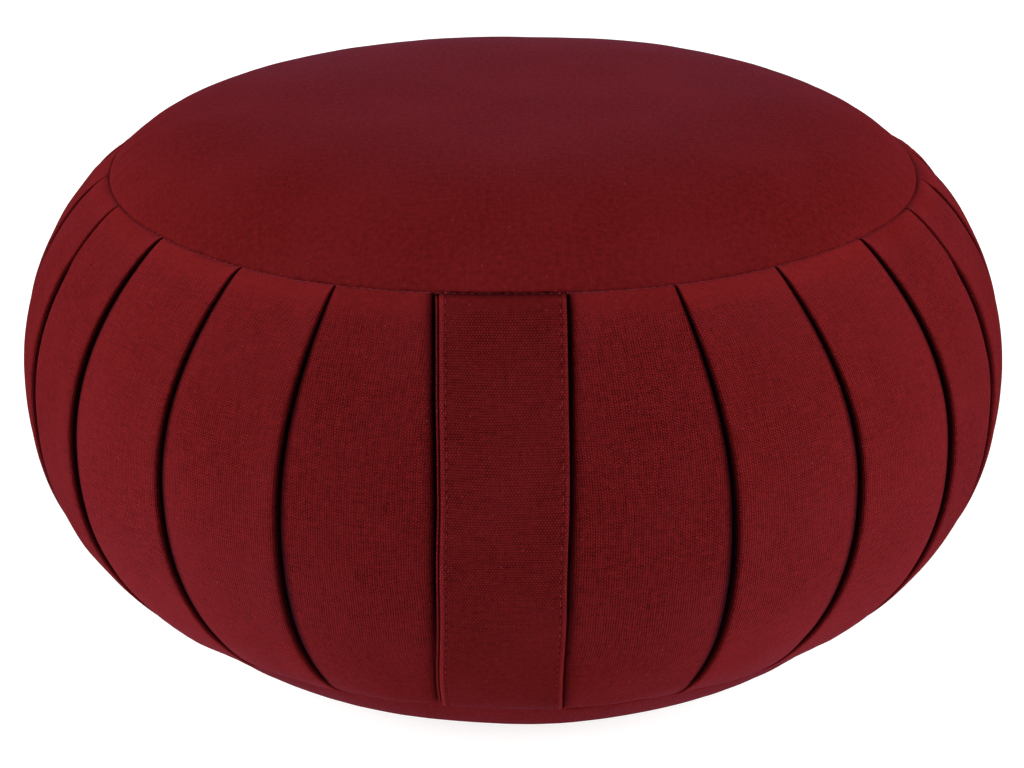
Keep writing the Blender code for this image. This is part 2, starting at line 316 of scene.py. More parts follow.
@dataclass(frozen=True)
class SeamShape:
    """The groove in which a round panel and the band are sewn together."""

    depth: float = 0.0004
    lip: float = 0.0006                 # how far from the seam the cloth rolls in
    inward: float = 0.6                 # share of the depth that goes inwards
    pucker: float = 0.00028             # small gathers beside the seam
    pucker_reach: float = 0.008
    pucker_waves: tuple[int, int] = (38, 96)
    dark_reach: float = 0.0004          # how far from the seam its painted shade line goes
    dark_waves: tuple[int, int] = (200, 700)
    front_turn: float = 1.05            # the seam's painted shade line is full as far round as this
    aside: float = 0.25                 # and beyond it this much of that painted shade is left

    @property
    def downward(self) -> float:
        """The share of the depth that goes down from a panel's rim."""
        return math.sqrt(1 - self.inward ** 2)

    def gathers(self, distance: Array, turn: Array, seed: int) -> Array:
        """The puckers at a distance from the seam, in shares of their height."""
        strength = (1 - np.exp(-distance / self.lip)) * np.exp(-distance / self.pucker_reach)
        return strength * ring_noise(turn, self.pucker_waves, 18, seed)

    def ragged(self, turn: Array, seed: int) -> Array:
        """How strong the seam's painted shade line is round the cushion."""
        uneven = np.clip(0.7 + 0.7 * ring_noise(turn, self.dark_waves, 16, seed), 0.1, 1.4)
        away = np.minimum(turn % math.tau, math.tau - turn % math.tau)
        return uneven * (self.aside + (1 - self.aside) * np.exp(-(away / self.front_turn) ** 4))


SEAM = SeamShape()


@dataclass(frozen=True)
class CushionForm:
    """The turned outline of the filled cushion, with its uneven seams."""

    belly_radius: float = 0.170
    belly_height: float = 0.0955
    belly_share: float = 0.46           # how far down the band, from seam to seam
    top_radius: float = 0.1387
    top_height: float = 0.163
    crown_rise: float = 0.0225
    crown_flatness: float = 6.0
    base_radius: float = 0.1355
    base_height: float = 0.023
    base_flat: float = 0.095
    shoulder: tuple[float, float] = (1.15, 2.05)    # outward and upward fullness
    foot: tuple[float, float] = (1.18, 2.30)
    fold_reach: float = 0.16            # share of the band in which a fold opens
    seam_waves: tuple = ((0.00050, 3, 0.6), (0.00025, 7, 1.9))
    base_wave_turn: float = 0.63
    strap_pull: float = 0.0013          # the strap draws the base seam askew
    strap_pull_reach: float = 0.15
    crown_lump: tuple = (0.0007, 2, -0.8)

    def seam_ease(self, v: Array, reach: float) -> Array:
        """0 at both seams, 1 beyond a reach from them."""
        near = np.minimum(v, 1 - v) / reach
        return np.sin(np.clip(near, 0, 1) * math.pi / 2)

    def seam_wave(self, turn: Array) -> Array:
        """Rise and fall of the top seam."""
        return sum(height * np.sin(count * turn + start)
                   for height, count, start in self.seam_waves)

    def base_wave(self, turn: Array) -> Array:
        """Rise and fall of the base seam, with the strap's pull."""
        pull = ((turn + math.pi) % math.tau - math.pi) / self.strap_pull_reach
        drawn = self.strap_pull * pull * np.exp((1 - pull ** 2) / 2)
        return self.seam_wave(turn + self.base_wave_turn) - drawn

    def band_wave(self, v: Array, turn: Array) -> Array:
        """The nearer seam's wave, dying out towards the belly."""
        wave = np.where(v < 0.5, self.seam_wave(turn), self.base_wave(turn))
        return wave * (1 - self.seam_ease(v, self.fold_reach))

    def outline(self, v: Array) -> tuple[Array, Array, Array, Array]:
        """The side band's outline.

        Args:
            v: places from the top seam, 0, to the base seam, 1.

        Returns:
            Radius, height, and the outward and upward parts of the direction
            in which folds stand off the band.
        """
        v = np.asarray(v, dtype=float)
        above = v <= self.belly_share
        share = np.where(above, v / self.belly_share, (1 - v) / (1 - self.belly_share))
        turn = share * math.pi / 2
        out_power = np.where(above, self.shoulder[0], self.foot[0])
        up_power = np.where(above, self.shoulder[1], self.foot[1])
        radius = np.where(above, self.top_radius, self.base_radius)
        rise = np.where(above, self.top_height, self.base_height) - self.belly_height
        reach = self.belly_radius - radius
        out = np.sin(turn) ** (2 / out_power)
        up = np.maximum(np.cos(turn), 0.0) ** (2 / up_power)
        grade_out = out ** (out_power - 1) / reach * self.seam_ease(v, self.fold_reach) ** 2
        grade_up = up ** (up_power - 1) / rise
        length = np.hypot(grade_out, grade_up)
        height = self.belly_height + rise * up
        return radius + reach * out, height, grade_out / length, grade_up / length

    def arc(self, v: Array) -> Array:
        """Length of cloth from the top seam down to a place on the band."""
        radius, height, _, _ = self.outline(FINE)
        steps = np.hypot(np.diff(radius), np.diff(height))
        return np.interp(v, FINE, np.concatenate([[0.0], np.cumsum(steps)]))

    @property
    def seam_to_seam(self) -> float:
        """Length of the band's cloth between its seams."""
        return float(self.arc(1.0))

    def cloth_share(self, v: Array) -> Array:
        """How far along the cloth between the seams a place on the band lies."""
        return self.arc(v) / self.seam_to_seam

    def row_places(self, finest: float, widest: float, growth: float) -> Array:
        """Places of the band's rows, close together at both seams.

        Args:
            finest: distance between rows at a seam.
            widest: the most that two rows may be apart.
            growth: how fast the distance grows with the distance from a seam.

        Returns:
            Places from 0 to 1.
        """
        lengths = self.arc(FINE)
        whole = lengths[-1]
        marks = [0.0]
        while marks[-1] < whole:
            near = min(marks[-1], whole - marks[-1])
            marks.append(marks[-1] + min(finest + growth * near, widest))
        scaled = np.asarray(marks) * whole / marks[-1]
        return np.interp(scaled, lengths, FINE)

    def place(self, radius: Array, height: Array, turn: Array) -> Array:
        """Points at a radius, a height and an angle."""
        parts = np.broadcast_arrays(radius * np.sin(turn), -radius * np.cos(turn), height)
        return np.stack(parts, axis=-1)

    def off_band(self, v: Array, turn: Array, offset: Array) -> Array:
        """Points at a distance off the side band."""
        radius, height, out, up = self.outline(v)
        wave = self.band_wave(v, turn)
        inward, down = self.tuck(v)
        return self.place(radius + out * offset - inward, height + up * offset + wave - down, turn)

    def tuck(self, v: Array) -> tuple[Array, Array]:
        """How far the band is drawn into a seam, inwards and down."""
        lengths = self.arc(v)
        top = np.exp(-(lengths / SEAM.lip) ** 2)
        base = np.exp(-((self.seam_to_seam - lengths) / SEAM.lip) ** 2)
        inward, down = SEAM.depth * SEAM.inward, SEAM.depth * SEAM.downward
        return inward * (top + base), down * (top - base)

    def crown_height(self, share: Array, turn: Array) -> Array:
        """Height of the top at a share of the seam's radius."""
        seam = self.top_height + self.seam_wave(turn) * share ** 2
        height, count, start = self.crown_lump
        lump = height * (1 - share ** 2) * share * np.sin(count * turn + start)
        return seam + self.crown_rise * (1 - share ** self.crown_flatness) + lump

    def foot_height(self, share: Array, turn: Array) -> Array:
        """Height of the underside, flat in the middle and turned up to the seam."""
        flat = self.base_flat / self.base_radius
        turned_up = np.maximum(share - flat, 0.0) / (1 - flat)
        return (self.base_height + self.base_wave(turn)) * turned_up ** 2


@dataclass(frozen=True)
class PleatHabit:
    """How one pleat gapes, against the tables that all pleats share."""

    slit: float                         # width of the slit between its folds
    near: float                         # rounding of the nearer panel
    far: float                          # and of the one that laps over it
    roll: float                         # how far its lapping fold stands proud
    opens: float                        # places down the band between which it gapes
    closes: float                       # until it is drawn shut
    stray: tuple[float, ...]            # millimetres that the slit lies beyond its line

    def openness(self, v: Array) -> Array:
        """1 where the pleat gapes, 0 where it is drawn shut."""
        rising = np.clip((v - self.opens) / 0.05, 0, 1)
        falling = np.clip((self.closes - v) / 0.10, 0, 1)
        return np.sin(rising * math.pi / 2) * falling ** 1.5


@dataclass(frozen=True)
class PleatPlan:
    """Where the knife pleats lie and how their folds are shaped."""

    per_side: int = 11
    first_angle: float = 21.0           # degrees, as all angles of pleats here
    bow: float = 3.5                    # how far a pleat bows towards the back at the belly
    lean: float = 1.2                   # and how much further back its lower end lies
    bow_fade: int = 3
    wander: float = 0.35                # sewing is never quite even
    wander_step: float = 2.4
    # For the pleats next to the strap: angle at the top seam, at the base seam, and bow.
    known: dict = field(default_factory=lambda: {
        Side.LEFT: ((21.8, 22.9, 1.3), (36.1, 36.0, 3.0), (52.2, 54.3, 2.3), (67.9, 69.4, 0.8),
                    (81.7, 82.7, 4.0)),
        Side.RIGHT: ((21.2, 23.1, 1.5), (36.0, 36.4, 3.5), (52.6, 55.4, 2.7), (68.5, 70.1, 1.6),
                     (82.8, 83.8, 4.0)),
    })
    # Down the band, in millimetres: width of the slit between the two folds, and how
    # far the nearer and the lapping panel round over into it.
    slit: tuple = ((0.0, 0.20), (0.05, 0.30), (0.14, 0.45), (0.25, 0.75), (0.36, 0.90),
                   (0.50, 0.90), (0.64, 0.90), (0.74, 0.75), (0.84, 0.5), (1.0, 0.15))
    near_round: tuple = ((0.0, 0.30), (0.05, 0.60), (0.14, 1.2), (0.25, 1.9), (0.36, 2.5),
                         (0.56, 3.5), (0.74, 2.7), (0.88, 1.2), (1.0, 0.4))
    far_round: tuple = ((0.0, 0.30), (0.05, 0.55), (0.14, 1.1), (0.36, 1.75), (0.56, 1.8),
                        (0.74, 1.5), (0.88, 0.85), (1.0, 0.35))
    stray_places: tuple = (0.0, 0.14, 0.36, 0.56, 1.0)      # of the strays in the habits
    # The first pleats from the strap; the rest gape as the last of these.
    habits: tuple = (
        PleatHabit(1.25, 1.08, 1.08, 0.0005, -0.10, 0.90, (0.0, -0.2, 0.55, 0.1, 0.0)),
        PleatHabit(1.30, 1.12, 0.97, 0.0005, -0.10, 0.84, (0.0, -0.35, 0.25, -0.1, 0.0)),
        PleatHabit(1.85, 1.40, 0.95, 0.0007, -0.10, 0.78, (0.0, -0.6, -0.3, -0.4, 0.0)),
        PleatHabit(1.8, 1.40, 1.0, 0.0008, 0.21, 0.80, (0.0, -0.8, -0.5, -0.3, 0.0)),
        PleatHabit(1.6, 1.20, 1.0, 0.0006, 0.08, 0.84, (0.0, 0.0, 0.0, 0.0, 0.0)),
    )
    near_steps: int = 7
    far_steps: int = 7
    # From the nearer panel's edge down into the slit and back up under the lapping fold:
    # share of the slit's width, millimetres further, share of the depth.
    walls: tuple = ((0.0, 0.1, 0.50), (0.0, 0.5, 0.80), (0.3, 1.0, 1.00),
                    (1.0, 1.6, 0.95), (1.0, 1.0, 0.65), (1.0, 0.3, 0.40))
    beyond: tuple = ((1.5, 1.0), (4.0, 0.7), (8.0, 0.25))      # millimetres, share of the roll
    depth: float = 0.0085
    least_depth: float = 0.0006         # at the seams
    lead: float = 0.0020                # flat cloth before the nearer panel's fold
    slit_ripple: float = 0.08
    slit_waves: float = 5.3             # half waves of that ripple down the band
    shut_slit: float = 0.12             # what is left where a pleat is drawn shut, in millimetres
    shut_round: float = 0.3             # and what share of its rounding
    shut_painted_shade: float = 0.25             # and of its painted shade
    uneven: tuple[float, float] = (0.92, 1.08)          # spread of the widths and roundings
    uneven_roll: tuple[float, float] = (0.85, 1.15)
    near_painted_shade: float = 0.95             # painted shade of the two folds at the slit
    far_painted_shade: float = 0.94
    roll_rub: float = 0.10              # hands rub the fold where it stands proud

    def lines(self, side: Side) -> list[tuple[float, float, float]]:
        """Angles at the top and base seam, and bow, of each pleat of one side, in degrees."""
        spacing = (360 - 2 * self.first_angle) / (2 * self.per_side - 1)
        made = list(self.known[side])
        for number in range(len(made), self.per_side):
            stray = self.wander * math.sin(self.wander_step * number + side.value)
            angle = self.first_angle + number * spacing + stray
            fade = 1 - (number / self.per_side) ** self.bow_fade
            made.append((angle, angle + self.lean * fade, self.bow * fade))
        return made

    def habit(self, number: int) -> PleatHabit:
        """How a pleat gapes, by its number from the strap."""
        return self.habits[min(number, len(self.habits) - 1)]


@dataclass(frozen=True)
class StrapSizes:
    """Sizes of the carry strap and of the channel it lies in."""

    width: float = 0.039
    shift: float = -0.001               # its middle lies a little left of the front
    thickness: float = 0.0024
    end_thickness: float = 0.0012       # flattened where the seams catch it
    proud: float = 0.0008               # how far its face lies off the band
    gap: float = 0.0003                 # between its back and the channel's bed
    slit_depth: float = 0.0030          # of the gaps on both sides of it
    slits: dict = field(default_factory=lambda: {Side.LEFT: 0.0010, Side.RIGHT: 0.0009})
    shade: dict = field(default_factory=lambda: {Side.LEFT: 0.80, Side.RIGHT: 0.68})
    closes: tuple[float, float] = (0.50, 0.64)      # where the gaps beside the strap run out
    # Down the band, in millimetres: how far the strap is sewn askew.
    drift: tuple = ((0.0, -1.0), (0.08, -0.9), (0.18, -0.5), (0.24, -0.2), (0.30, -0.05),
                    (0.36, 0.12), (0.42, 0.24), (0.46, -0.02), (0.51, -0.3), (0.58, -0.5),
                    (0.67, -1.1), (0.74, -1.3), (1.0, -1.4))
    drift_spread: float = 0.04
    reach: float = 0.12                 # share of the band in which it gets its thickness
    proud_reach: float = 0.20           # and in which it comes to stand proud

    def middle(self, v: Array) -> Array:
        """How far the strap's middle line lies to the right of the cushion's front."""
        return self.shift + 0.001 * rounded_table(v, self.drift, self.drift_spread)

    def gape(self, v: Array) -> Array:
        """1 where the gaps beside the strap are open, 0 where the cloth meets it."""
        first, last = self.closes
        return 0.5 + 0.5 * np.cos(np.clip((v - first) / (last - first), 0, 1) * math.pi)

    def lift(self, form: CushionForm, v: Array) -> tuple[Array, Array]:
        """How far the strap's inner and outer face lie off the side band."""
        swell = (self.thickness - self.end_thickness) * form.seam_ease(v, self.reach)
        outer = self.proud * form.seam_ease(v, self.proud_reach)
        return outer - self.end_thickness - swell, outer


@dataclass
class BandLayout:
    """The lines that divide the band into panels, in order round the cushion."""

    form: CushionForm
    plan: PleatPlan
    strap: StrapSizes

    def __post_init__(self) -> None:
        """List the pleats in the order in which they come round the cushion."""
        right, left = ([(side, number, *line) for number, line in enumerate(self.plan.lines(side))]
                       for side in (Side.RIGHT, Side.LEFT))
        self.pleats = right + left[::-1]
        self.panels = len(self.pleats) + 1

    def pleat_turn(self, number: int, v: Array) -> Array:
        """Angle of a pleat line down the band."""
        side, _, top, base, bow = self.pleats[number]
        share = self.form.cloth_share(v)
        turn = side.value * np.radians(top + (base - top) * share + bow * np.sin(math.pi * share))
        return turn % math.tau

    def channel_turn(self, side: Side, v: Array) -> Array:
        """Angle of the band's edge beside the strap."""
        radius = self.form.outline(v)[0]
        across = side.value * (self.strap.width / 2 + self.strap.slits[side]) + self.strap.middle(v)
        return across / radius + (math.tau if side is Side.LEFT else 0.0)

    def bounds(self, panel: int, v: Array) -> tuple[Array, Array]:
        """Angles at which a panel starts and ends."""
        start = self.channel_turn(Side.RIGHT, v) if panel == 0 else self.pleat_turn(panel - 1, v)
        last = panel == self.panels - 1
        stop = self.channel_turn(Side.LEFT, v) if last else self.pleat_turn(panel, v)
        return start, stop


# ---------------------------------------------------------------- the filling

@dataclass
class Filling:
    """How far the filling pushes the cloth out between its seams and pleats.

    A coarse skin is pinned along every seam, pleat and strap edge and blown up
    as cloth. The pieces take their swell from it, so they bulge as sewn cloth does.
    """

    layout: BandLayout
    cells: int = 8                      # skin columns in a panel
    rows: int = 44
    crown_rings: int = 18
    frames: int = 20
    pressure: float = 20.0
    cloth_settings: dict = field(default_factory=lambda: {
        "quality": 6, "mass": 0.25, "tension_stiffness": 15, "compression_stiffness": 15,
        "shear_stiffness": 8, "bending_stiffness": 0.6,
    })
    spare: float = 0.005                # the cloth is cut this much fuller than the skin
    start: float = 0.0005               # how far panels swell before they are filled
    crown_hollow: float = 0.0022        # the crown starts this much lower
    most: float = 0.0045                # the furthest that cloth may move
    lumps: float = 0.0006               # loose filling never lies quite even
    crown_share: float = 0.8            # how much of the crown's unevenness shows
    crown_calm: float = 0.12            # share of the radius in which it dies out at the middle

    def __post_init__(self) -> None:
        """Start with flat panels."""
        self.form = self.layout.form
        self.columns = self.layout.panels * self.cells + 1
        self.places = np.linspace(0.0, 1.0, self.rows + 1)[:, None]
        shares = (np.arange(self.columns) % self.cells) / self.cells
        ease = self.form.seam_ease(self.places, self.form.fold_reach)
        self.bulge = np.sin(math.pi * shares) * ease
        self.band_swell = np.zeros((self.rows + 1, self.columns))
        self.crown_swell = np.zeros((self.crown_rings + 1, self.columns))

    def skin(self) -> tuple[Array, Array, Array, Array]:
        """The coarse skin before it is blown up.

        Returns:
            Band points, crown points, and the directions in which each swells.
        """
        v, form = self.places, self.form
        shares = np.arange(self.cells) / self.cells
        turns = []
        for panel in range(self.layout.panels):
            start, stop = self.layout.bounds(panel, v)
            turns.append(start + (stop - start) * shares)
        turns.append(self.layout.channel_turn(Side.LEFT, v))
        turn = np.concatenate(turns, axis=1)
        uneven = self.lumps * ring_noise(turn + 2.0 * v, (9, 31), 14, 11)
        band = form.off_band(v, turn, (uneven + self.start) * self.bulge)
        share = 1 - np.arange(1, self.crown_rings + 1)[:, None] / (self.crown_rings + 1)
        lumps = self.lumps * ring_noise(turn[:1] + share, (3, 9), 7, 5)
        dome = (1 - share ** 4) * (lumps - self.crown_hollow)
        height = form.crown_height(share, turn[:1]) + dome
        crown = form.place(form.top_radius * share, height, turn[:1])
        _, _, out, up = form.outline(v)
        return band, crown, form.place(out, up, turn), np.broadcast_to(UP, crown.shape)

    def settle(self) -> None:
        """Blow the skin up as cloth and keep how far each part of it moved."""
        band, crown, band_way, crown_way = self.skin()
        mesh = PieceMesh()
        crown_numbers = mesh.add_points(crown[::-1])
        band_numbers = mesh.add_points(band)
        numbers = np.concatenate([crown_numbers, band_numbers])
        mesh.add_grid(numbers, np.zeros((*numbers.shape, 2)), closed=True, flip=False)
        none = np.zeros((self.columns, 2))
        top = self.form.top_height + self.form.crown_rise - self.crown_hollow
        for ring, height, flip in ((0, top, False), (-1, self.form.base_height, True)):
            middle = np.array([0.0, 0.0, height])
            mesh.add_fan(numbers[ring], middle, none, none[0], flip=flip)
        skin = mesh.build("skin", bpy.data.materials.new("skin"))
        sewn = skin.vertex_groups.new(name="sewn")
        pinned = [*band_numbers[:, ::self.cells].ravel(), *band_numbers[0], *band_numbers[-1]]
        sewn.add([int(i) for i in pinned] + [mesh.count - 1], 1.0, "REPLACE")
        cloth = skin.modifiers.new("filling", "CLOTH")
        settings = cloth.settings
        for name, value in self.cloth_settings.items():
            setattr(settings, name, value)
        settings.vertex_group_mass = sewn.name
        settings.shrink_min = -self.spare
        settings.use_pressure = True
        settings.uniform_pressure_force = self.pressure
        settings.effector_weights.gravity = 0.0
        cloth.collision_settings.use_collision = False
        cloth.point_cache.frame_start = 1
        cloth.point_cache.frame_end = self.frames
        scene = bpy.context.scene
        for frame in range(1, self.frames + 1):
            scene.frame_set(frame)
        blown = skin.evaluated_get(bpy.context.evaluated_depsgraph_get())
        after = np.empty(len(blown.data.vertices) * 3)
        blown.data.vertices.foreach_get("co", after)
        moved = np.clip(after.reshape(-1, 3) - np.concatenate(mesh.points), -self.most, self.most)
        band_moved = (moved[band_numbers] * band_way).sum(axis=-1)
        crown_moved = (moved[crown_numbers][::-1] * crown_way).sum(axis=-1)
        bpy.data.objects.remove(skin)
        scene.frame_set(1)
        self.keep(band_moved, crown_moved)

    def keep(self, band_moved: Array, crown_moved: Array) -> None:
        """Store the swell, set so that the cushion keeps its measured size."""
        for part, moved in (("band", band_moved), ("crown", crown_moved)):
            LOG.info("filling moves the %s by %.2f to %.2f mm", part, moved.min() * 1e3,
                     moved.max() * 1e3)
        self.band_swell = band_moved + self.start * self.bulge
        uneven = crown_moved - crown_moved.mean(axis=1, keepdims=True)
        near = [np.roll(uneven, step, axis=1) for step in range(-3, 4)]
        self.crown_swell[1:] = self.crown_share * np.mean(near, axis=0)

    def band(self, v: Array, panel: Array, share: Array) -> Array:
        """Swell of the band.

        Args:
            v: places down the band.
            panel: numbers of the panels.
            share: places across them, from 0 to 1.

        Returns:
            Distances off the outline.
        """
        column = (panel + np.clip(share, 0.0, 1.0)) * self.cells
        return spline_sample(self.band_swell, v * self.rows, column)

    def crown(self, share: Array, turn: Array) -> Array:
        """Swell of the crown at a share of its radius and an angle."""
        top = np.zeros(1)
        starts = [float(self.layout.bounds(panel, top)[0][0])
                  for panel in range(self.layout.panels)]
        starts.append(float(self.layout.channel_turn(Side.LEFT, top)[0]))
        marks = np.arange(len(starts)) * self.cells
        starts.append(starts[0] + math.tau)
        marks = np.append(marks, self.columns)
        column = np.interp((turn - starts[0]) % math.tau + starts[0], starts, marks)
        rows = (1 - share) * (self.crown_rings + 1)
        fade = np.clip(share / self.crown_calm, 0, 1)
        swell = spline_sample(self.crown_swell, rows, column)
        middle = self.crown_swell[-1].mean()
        return middle + (swell - middle) * fade


# ---------------------------------------------------------------- finishes

@dataclass(frozen=True)
class CanvasFinish:
    """Plain-woven cotton canvas, dyed in the piece.

    The eye sees matt dark red, small dark gaps between round threads in a
    checker, threads of uneven thickness, a little pale lint and a soft sheen
    of loose fibres at a low angle.
    """

    name: str
    thread_across: float                # spacing of the threads that run along, in metres
    thread_along: float                 # spacing of the threads that run across
    dark: str = "1d0303"                # the cloth at its darkest, between threads
    light: str = "7b1c1e"               # and at its lightest, on a proud thread
    faded: str = "6c1c20"
    worn_and_painted_light_tint: str = "a03438"
    lint: str = "a8606a"
    painted_shade_colour: str = "0e0001"
    roughness: float = 0.95
    sheen: float = 0.058
    sheen_tint: str = "cda2d2"
    weave_depth: float = 0.00021
    contrast: float = 1.0
    ribs: float = 0.85                  # shares of the contrast: ribs of thread
    checker: float = 0.26               # over and under
    streaks: float = 1.1                # threads of uneven thickness
    fuzz: float = 0.9                   # loose fibre
    mottle: float = 0.45                # soft unevenness that stays where the weave is calm
    paling: float = 0.42                # how much lighter cloth is where it is worn, and where light is painted on it
    crispness: float = 1.1              # and how much clearer its weave
    calm: tuple[float, float, float] = (0.0, 0.0, 0.0)      # cloth length, and reaches at its ends
    calm_share: float = 0.2             # how much of the weave is left at the seams
    stray: float = 0.0014               # threads wander by a third of a millimetre
    patchy: float = 0.30                # the most that each tint covers
    wear_and_painted_light_most: float = 0.15
    painted_shade_most: float = 0.97
    lint_most: float = 0.22
    # Noise on the cloth map, as scale and detail. Threads wander over about 15 mm. Fuzz is
    # loose fibre of half a millimetre, and mottle clouds of it of 1 to 3 mm. Dye and
    # handling leave patches of 30 to 60 mm. Wear has a grain of 2 mm. Lint lies in specks
    # of half a millimetre, a few in each square centimetre.
    noises: dict = field(default_factory=lambda: {
        "wander": (65.0, 3.0), "fuzz": (2600.0, 1.0), "mottle": (560.0, 2.0),
        "patch": (26.0, 3.0), "wear": (420.0, 2.0), "lint": (1100.0, 0.0),
    })
    streak_scale: float = 130.0         # streaks are one thread wide and about 8 mm long

    def material(self) -> bpy.types.Material:
        """Build the material.

        Returns:
            A material that follows the piece's cloth map.
        """
        made, tree = new_material(self.name)
        where = add_node(tree, "ShaderNodeUVMap", uv_map=CLOTH_MAP)
        noise = {
            name: add_node(tree, "ShaderNodeTexNoise",
                           {"Vector": where, "Scale": scale, "Detail": detail})
            for name, (scale, detail) in self.noises.items()
        }
        wear_and_painted_light_attribute = add_node(tree, "ShaderNodeAttribute", attribute_name=PAINTED_LIGHT_AND_WEAR).outputs["Fac"]
        # Worn folds and edges are paler and show the weave more, and so are the side panels and the
        # band below the top seam, where light is painted.
        wear_and_painted_light_lift = add_node(tree, "ShaderNodeMath", {0: wear_and_painted_light_attribute, 1: 0.0}, operation="MAXIMUM")
        weave = self.weave(tree, where, noise)
        crisp = add_node(tree, "ShaderNodeMath", {0: wear_and_painted_light_lift, 1: self.crispness, 2: 1.0},
                         operation="MULTIPLY_ADD")
        weave = add_node(tree, "ShaderNodeMath", {0: weave, 1: crisp}, operation="MULTIPLY")
        clouds = add_node(tree, "ShaderNodeMath", {0: noise["mottle"], 1: self.mottle, 2: weave},
                          operation="MULTIPLY_ADD")
        tone = add_node(tree, "ShaderNodeMath", {0: clouds, 1: 0.5 - self.mottle / 2},
                        operation="ADD", use_clamp=True)
        lifted = add_node(tree, "ShaderNodeMath", {0: wear_and_painted_light_lift, 1: self.paling, 2: tone},
                          operation="MULTIPLY_ADD")
        colour = add_node(tree, "ShaderNodeMix",
                          {0: lifted, 6: linear(self.dark), 7: linear(self.light)},
                          data_type="RGBA", clamp_factor=False).outputs[2]

        patch = add_node(tree, "ShaderNodeMapRange", {
            "Value": noise["patch"], "From Min": 0.42, "From Max": 0.75, "To Max": self.patchy})
        # The worn tint also falls where light is painted on the side panels and below the top seam.
        wear_and_painted_light = add_node(tree, "ShaderNodeMath", {0: wear_and_painted_light_lift, 1: noise["wear"]},
                          operation="MULTIPLY")
        wear = add_node(tree, "ShaderNodeMath", {0: wear_and_painted_light, 1: self.wear_and_painted_light_most},
                        operation="MULTIPLY", use_clamp=True)
        # Painted shade: inside the folds, in the gaps beside the strap and along the seams the
        # cloth turns nearly black.
        inside = add_node(tree, "ShaderNodeMapRange", {
            "Value": wear_and_painted_light_attribute, "From Max": -1.0, "To Max": self.painted_shade_most})
        specks = add_node(tree, "ShaderNodeMapRange", {
            "Value": noise["lint"], "From Min": 0.80, "From Max": 0.88, "To Max": self.lint_most})
        for share, tint in ((patch, self.faded), (wear, self.worn_and_painted_light_tint), (inside, self.painted_shade_colour),
                            (specks, self.lint)):
            colour = add_node(tree, "ShaderNodeMix", {0: share, 6: colour, 7: linear(tint)},
                              data_type="RGBA").outputs[2]

        bump = add_node(tree, "ShaderNodeBump",
                        {"Height": tone, "Distance": self.weave_depth, "Strength": 1.0})
        shader = add_node(tree, "ShaderNodeBsdfPrincipled", {
            "Base Color": colour,
            "Roughness": self.roughness,
            "Sheen Weight": self.sheen,
            "Sheen Roughness": 0.25,
            "Sheen Tint": linear(self.sheen_tint),
            "Specular IOR Level": 0.0,
            "Normal": bump,
        })
        add_node(tree, "ShaderNodeOutputMaterial", {0: shader})
        return made

    def weave(
        self, tree: bpy.types.NodeTree, where: bpy.types.Node, noise: dict[str, bpy.types.Node]
    ) -> bpy.types.Node:
        """Build the nodes of the plain weave: over and under, ribs, streaks and fuzz.

        Args:
            tree: the material's node tree.
            where: the cloth map.
            noise: the noises on the cloth map, by name.

        Returns:
            The weave's tone about 0, calmer towards the seams.
        """
        centred = add_node(tree, "ShaderNodeVectorMath",
                           {0: noise["wander"].outputs["Color"], 1: (0.5, 0.5, 0.5)},
                           operation="SUBTRACT")
        strayed = add_node(tree, "ShaderNodeVectorMath",
                           {0: centred, 1: (self.stray, self.stray, 0.0), 2: where},
                           operation="MULTIPLY_ADD")
        parts = add_node(tree, "ShaderNodeSeparateXYZ", {0: strayed})
        waves, streaks = [], []
        for axis, pitch, scale in (
            ("X", self.thread_across, (1 / self.thread_across, self.streak_scale, 1.0)),
            ("Y", self.thread_along, (self.streak_scale, 1 / self.thread_along, 1.0)),
        ):
            phase = add_node(tree, "ShaderNodeMath", {0: parts.outputs[axis], 1: math.pi / pitch},
                             operation="MULTIPLY")
            waves.append(add_node(tree, "ShaderNodeMath", {0: phase}, operation="SINE"))
            spaced = add_node(tree, "ShaderNodeVectorMath", {0: where, 1: scale},
                              operation="MULTIPLY")
            streaks.append(add_node(tree, "ShaderNodeTexNoise", {
                "Vector": spaced, "Scale": 1.0, "Detail": 2.0, "Roughness": 0.6}))
        crossing = add_node(tree, "ShaderNodeMath", {0: waves[0], 1: waves[1]},
                            operation="MULTIPLY")
        raised = add_node(tree, "ShaderNodeMath", {0: crossing}, operation="ABSOLUTE")
        over = add_node(tree, "ShaderNodeMapRange",
                        {"Value": crossing, "From Min": -0.25, "From Max": 0.25})
        streak = add_node(tree, "ShaderNodeMix", {0: over, 2: streaks[1], 3: streaks[0]},
                          data_type="FLOAT")

        total: bpy.types.Node | float = 0.0
        for part, middle, share in ((raised, 0.41, self.ribs), (over, 0.5, self.checker),
                                    (streak, 0.5, self.streaks), (noise["fuzz"], 0.5, self.fuzz)):
            shifted = add_node(tree, "ShaderNodeMath", {0: part, 1: -middle}, operation="ADD")
            total = add_node(tree, "ShaderNodeMath",
                             {0: shifted, 1: share * self.contrast, 2: total},
                             operation="MULTIPLY_ADD")
        length, *reaches = self.calm
        if length:
            # Close to the seams the cloth is drawn smooth and the weave hardly shows.
            run = add_node(tree, "ShaderNodeSeparateXYZ", {0: where}).outputs["Y"]
            back = add_node(tree, "ShaderNodeMath", {0: length, 1: run}, operation="SUBTRACT")
            for distance, reach in zip((run, back), reaches):
                eased = add_node(tree, "ShaderNodeMapRange", {
                    "Value": distance, "From Min": 0.2 * reach, "From Max": reach,
                    "To Min": self.calm_share}, interpolation_type="SMOOTHSTEP")
                total = add_node(tree, "ShaderNodeMath", {0: total, 1: eased},
                                 operation="MULTIPLY")
        return total


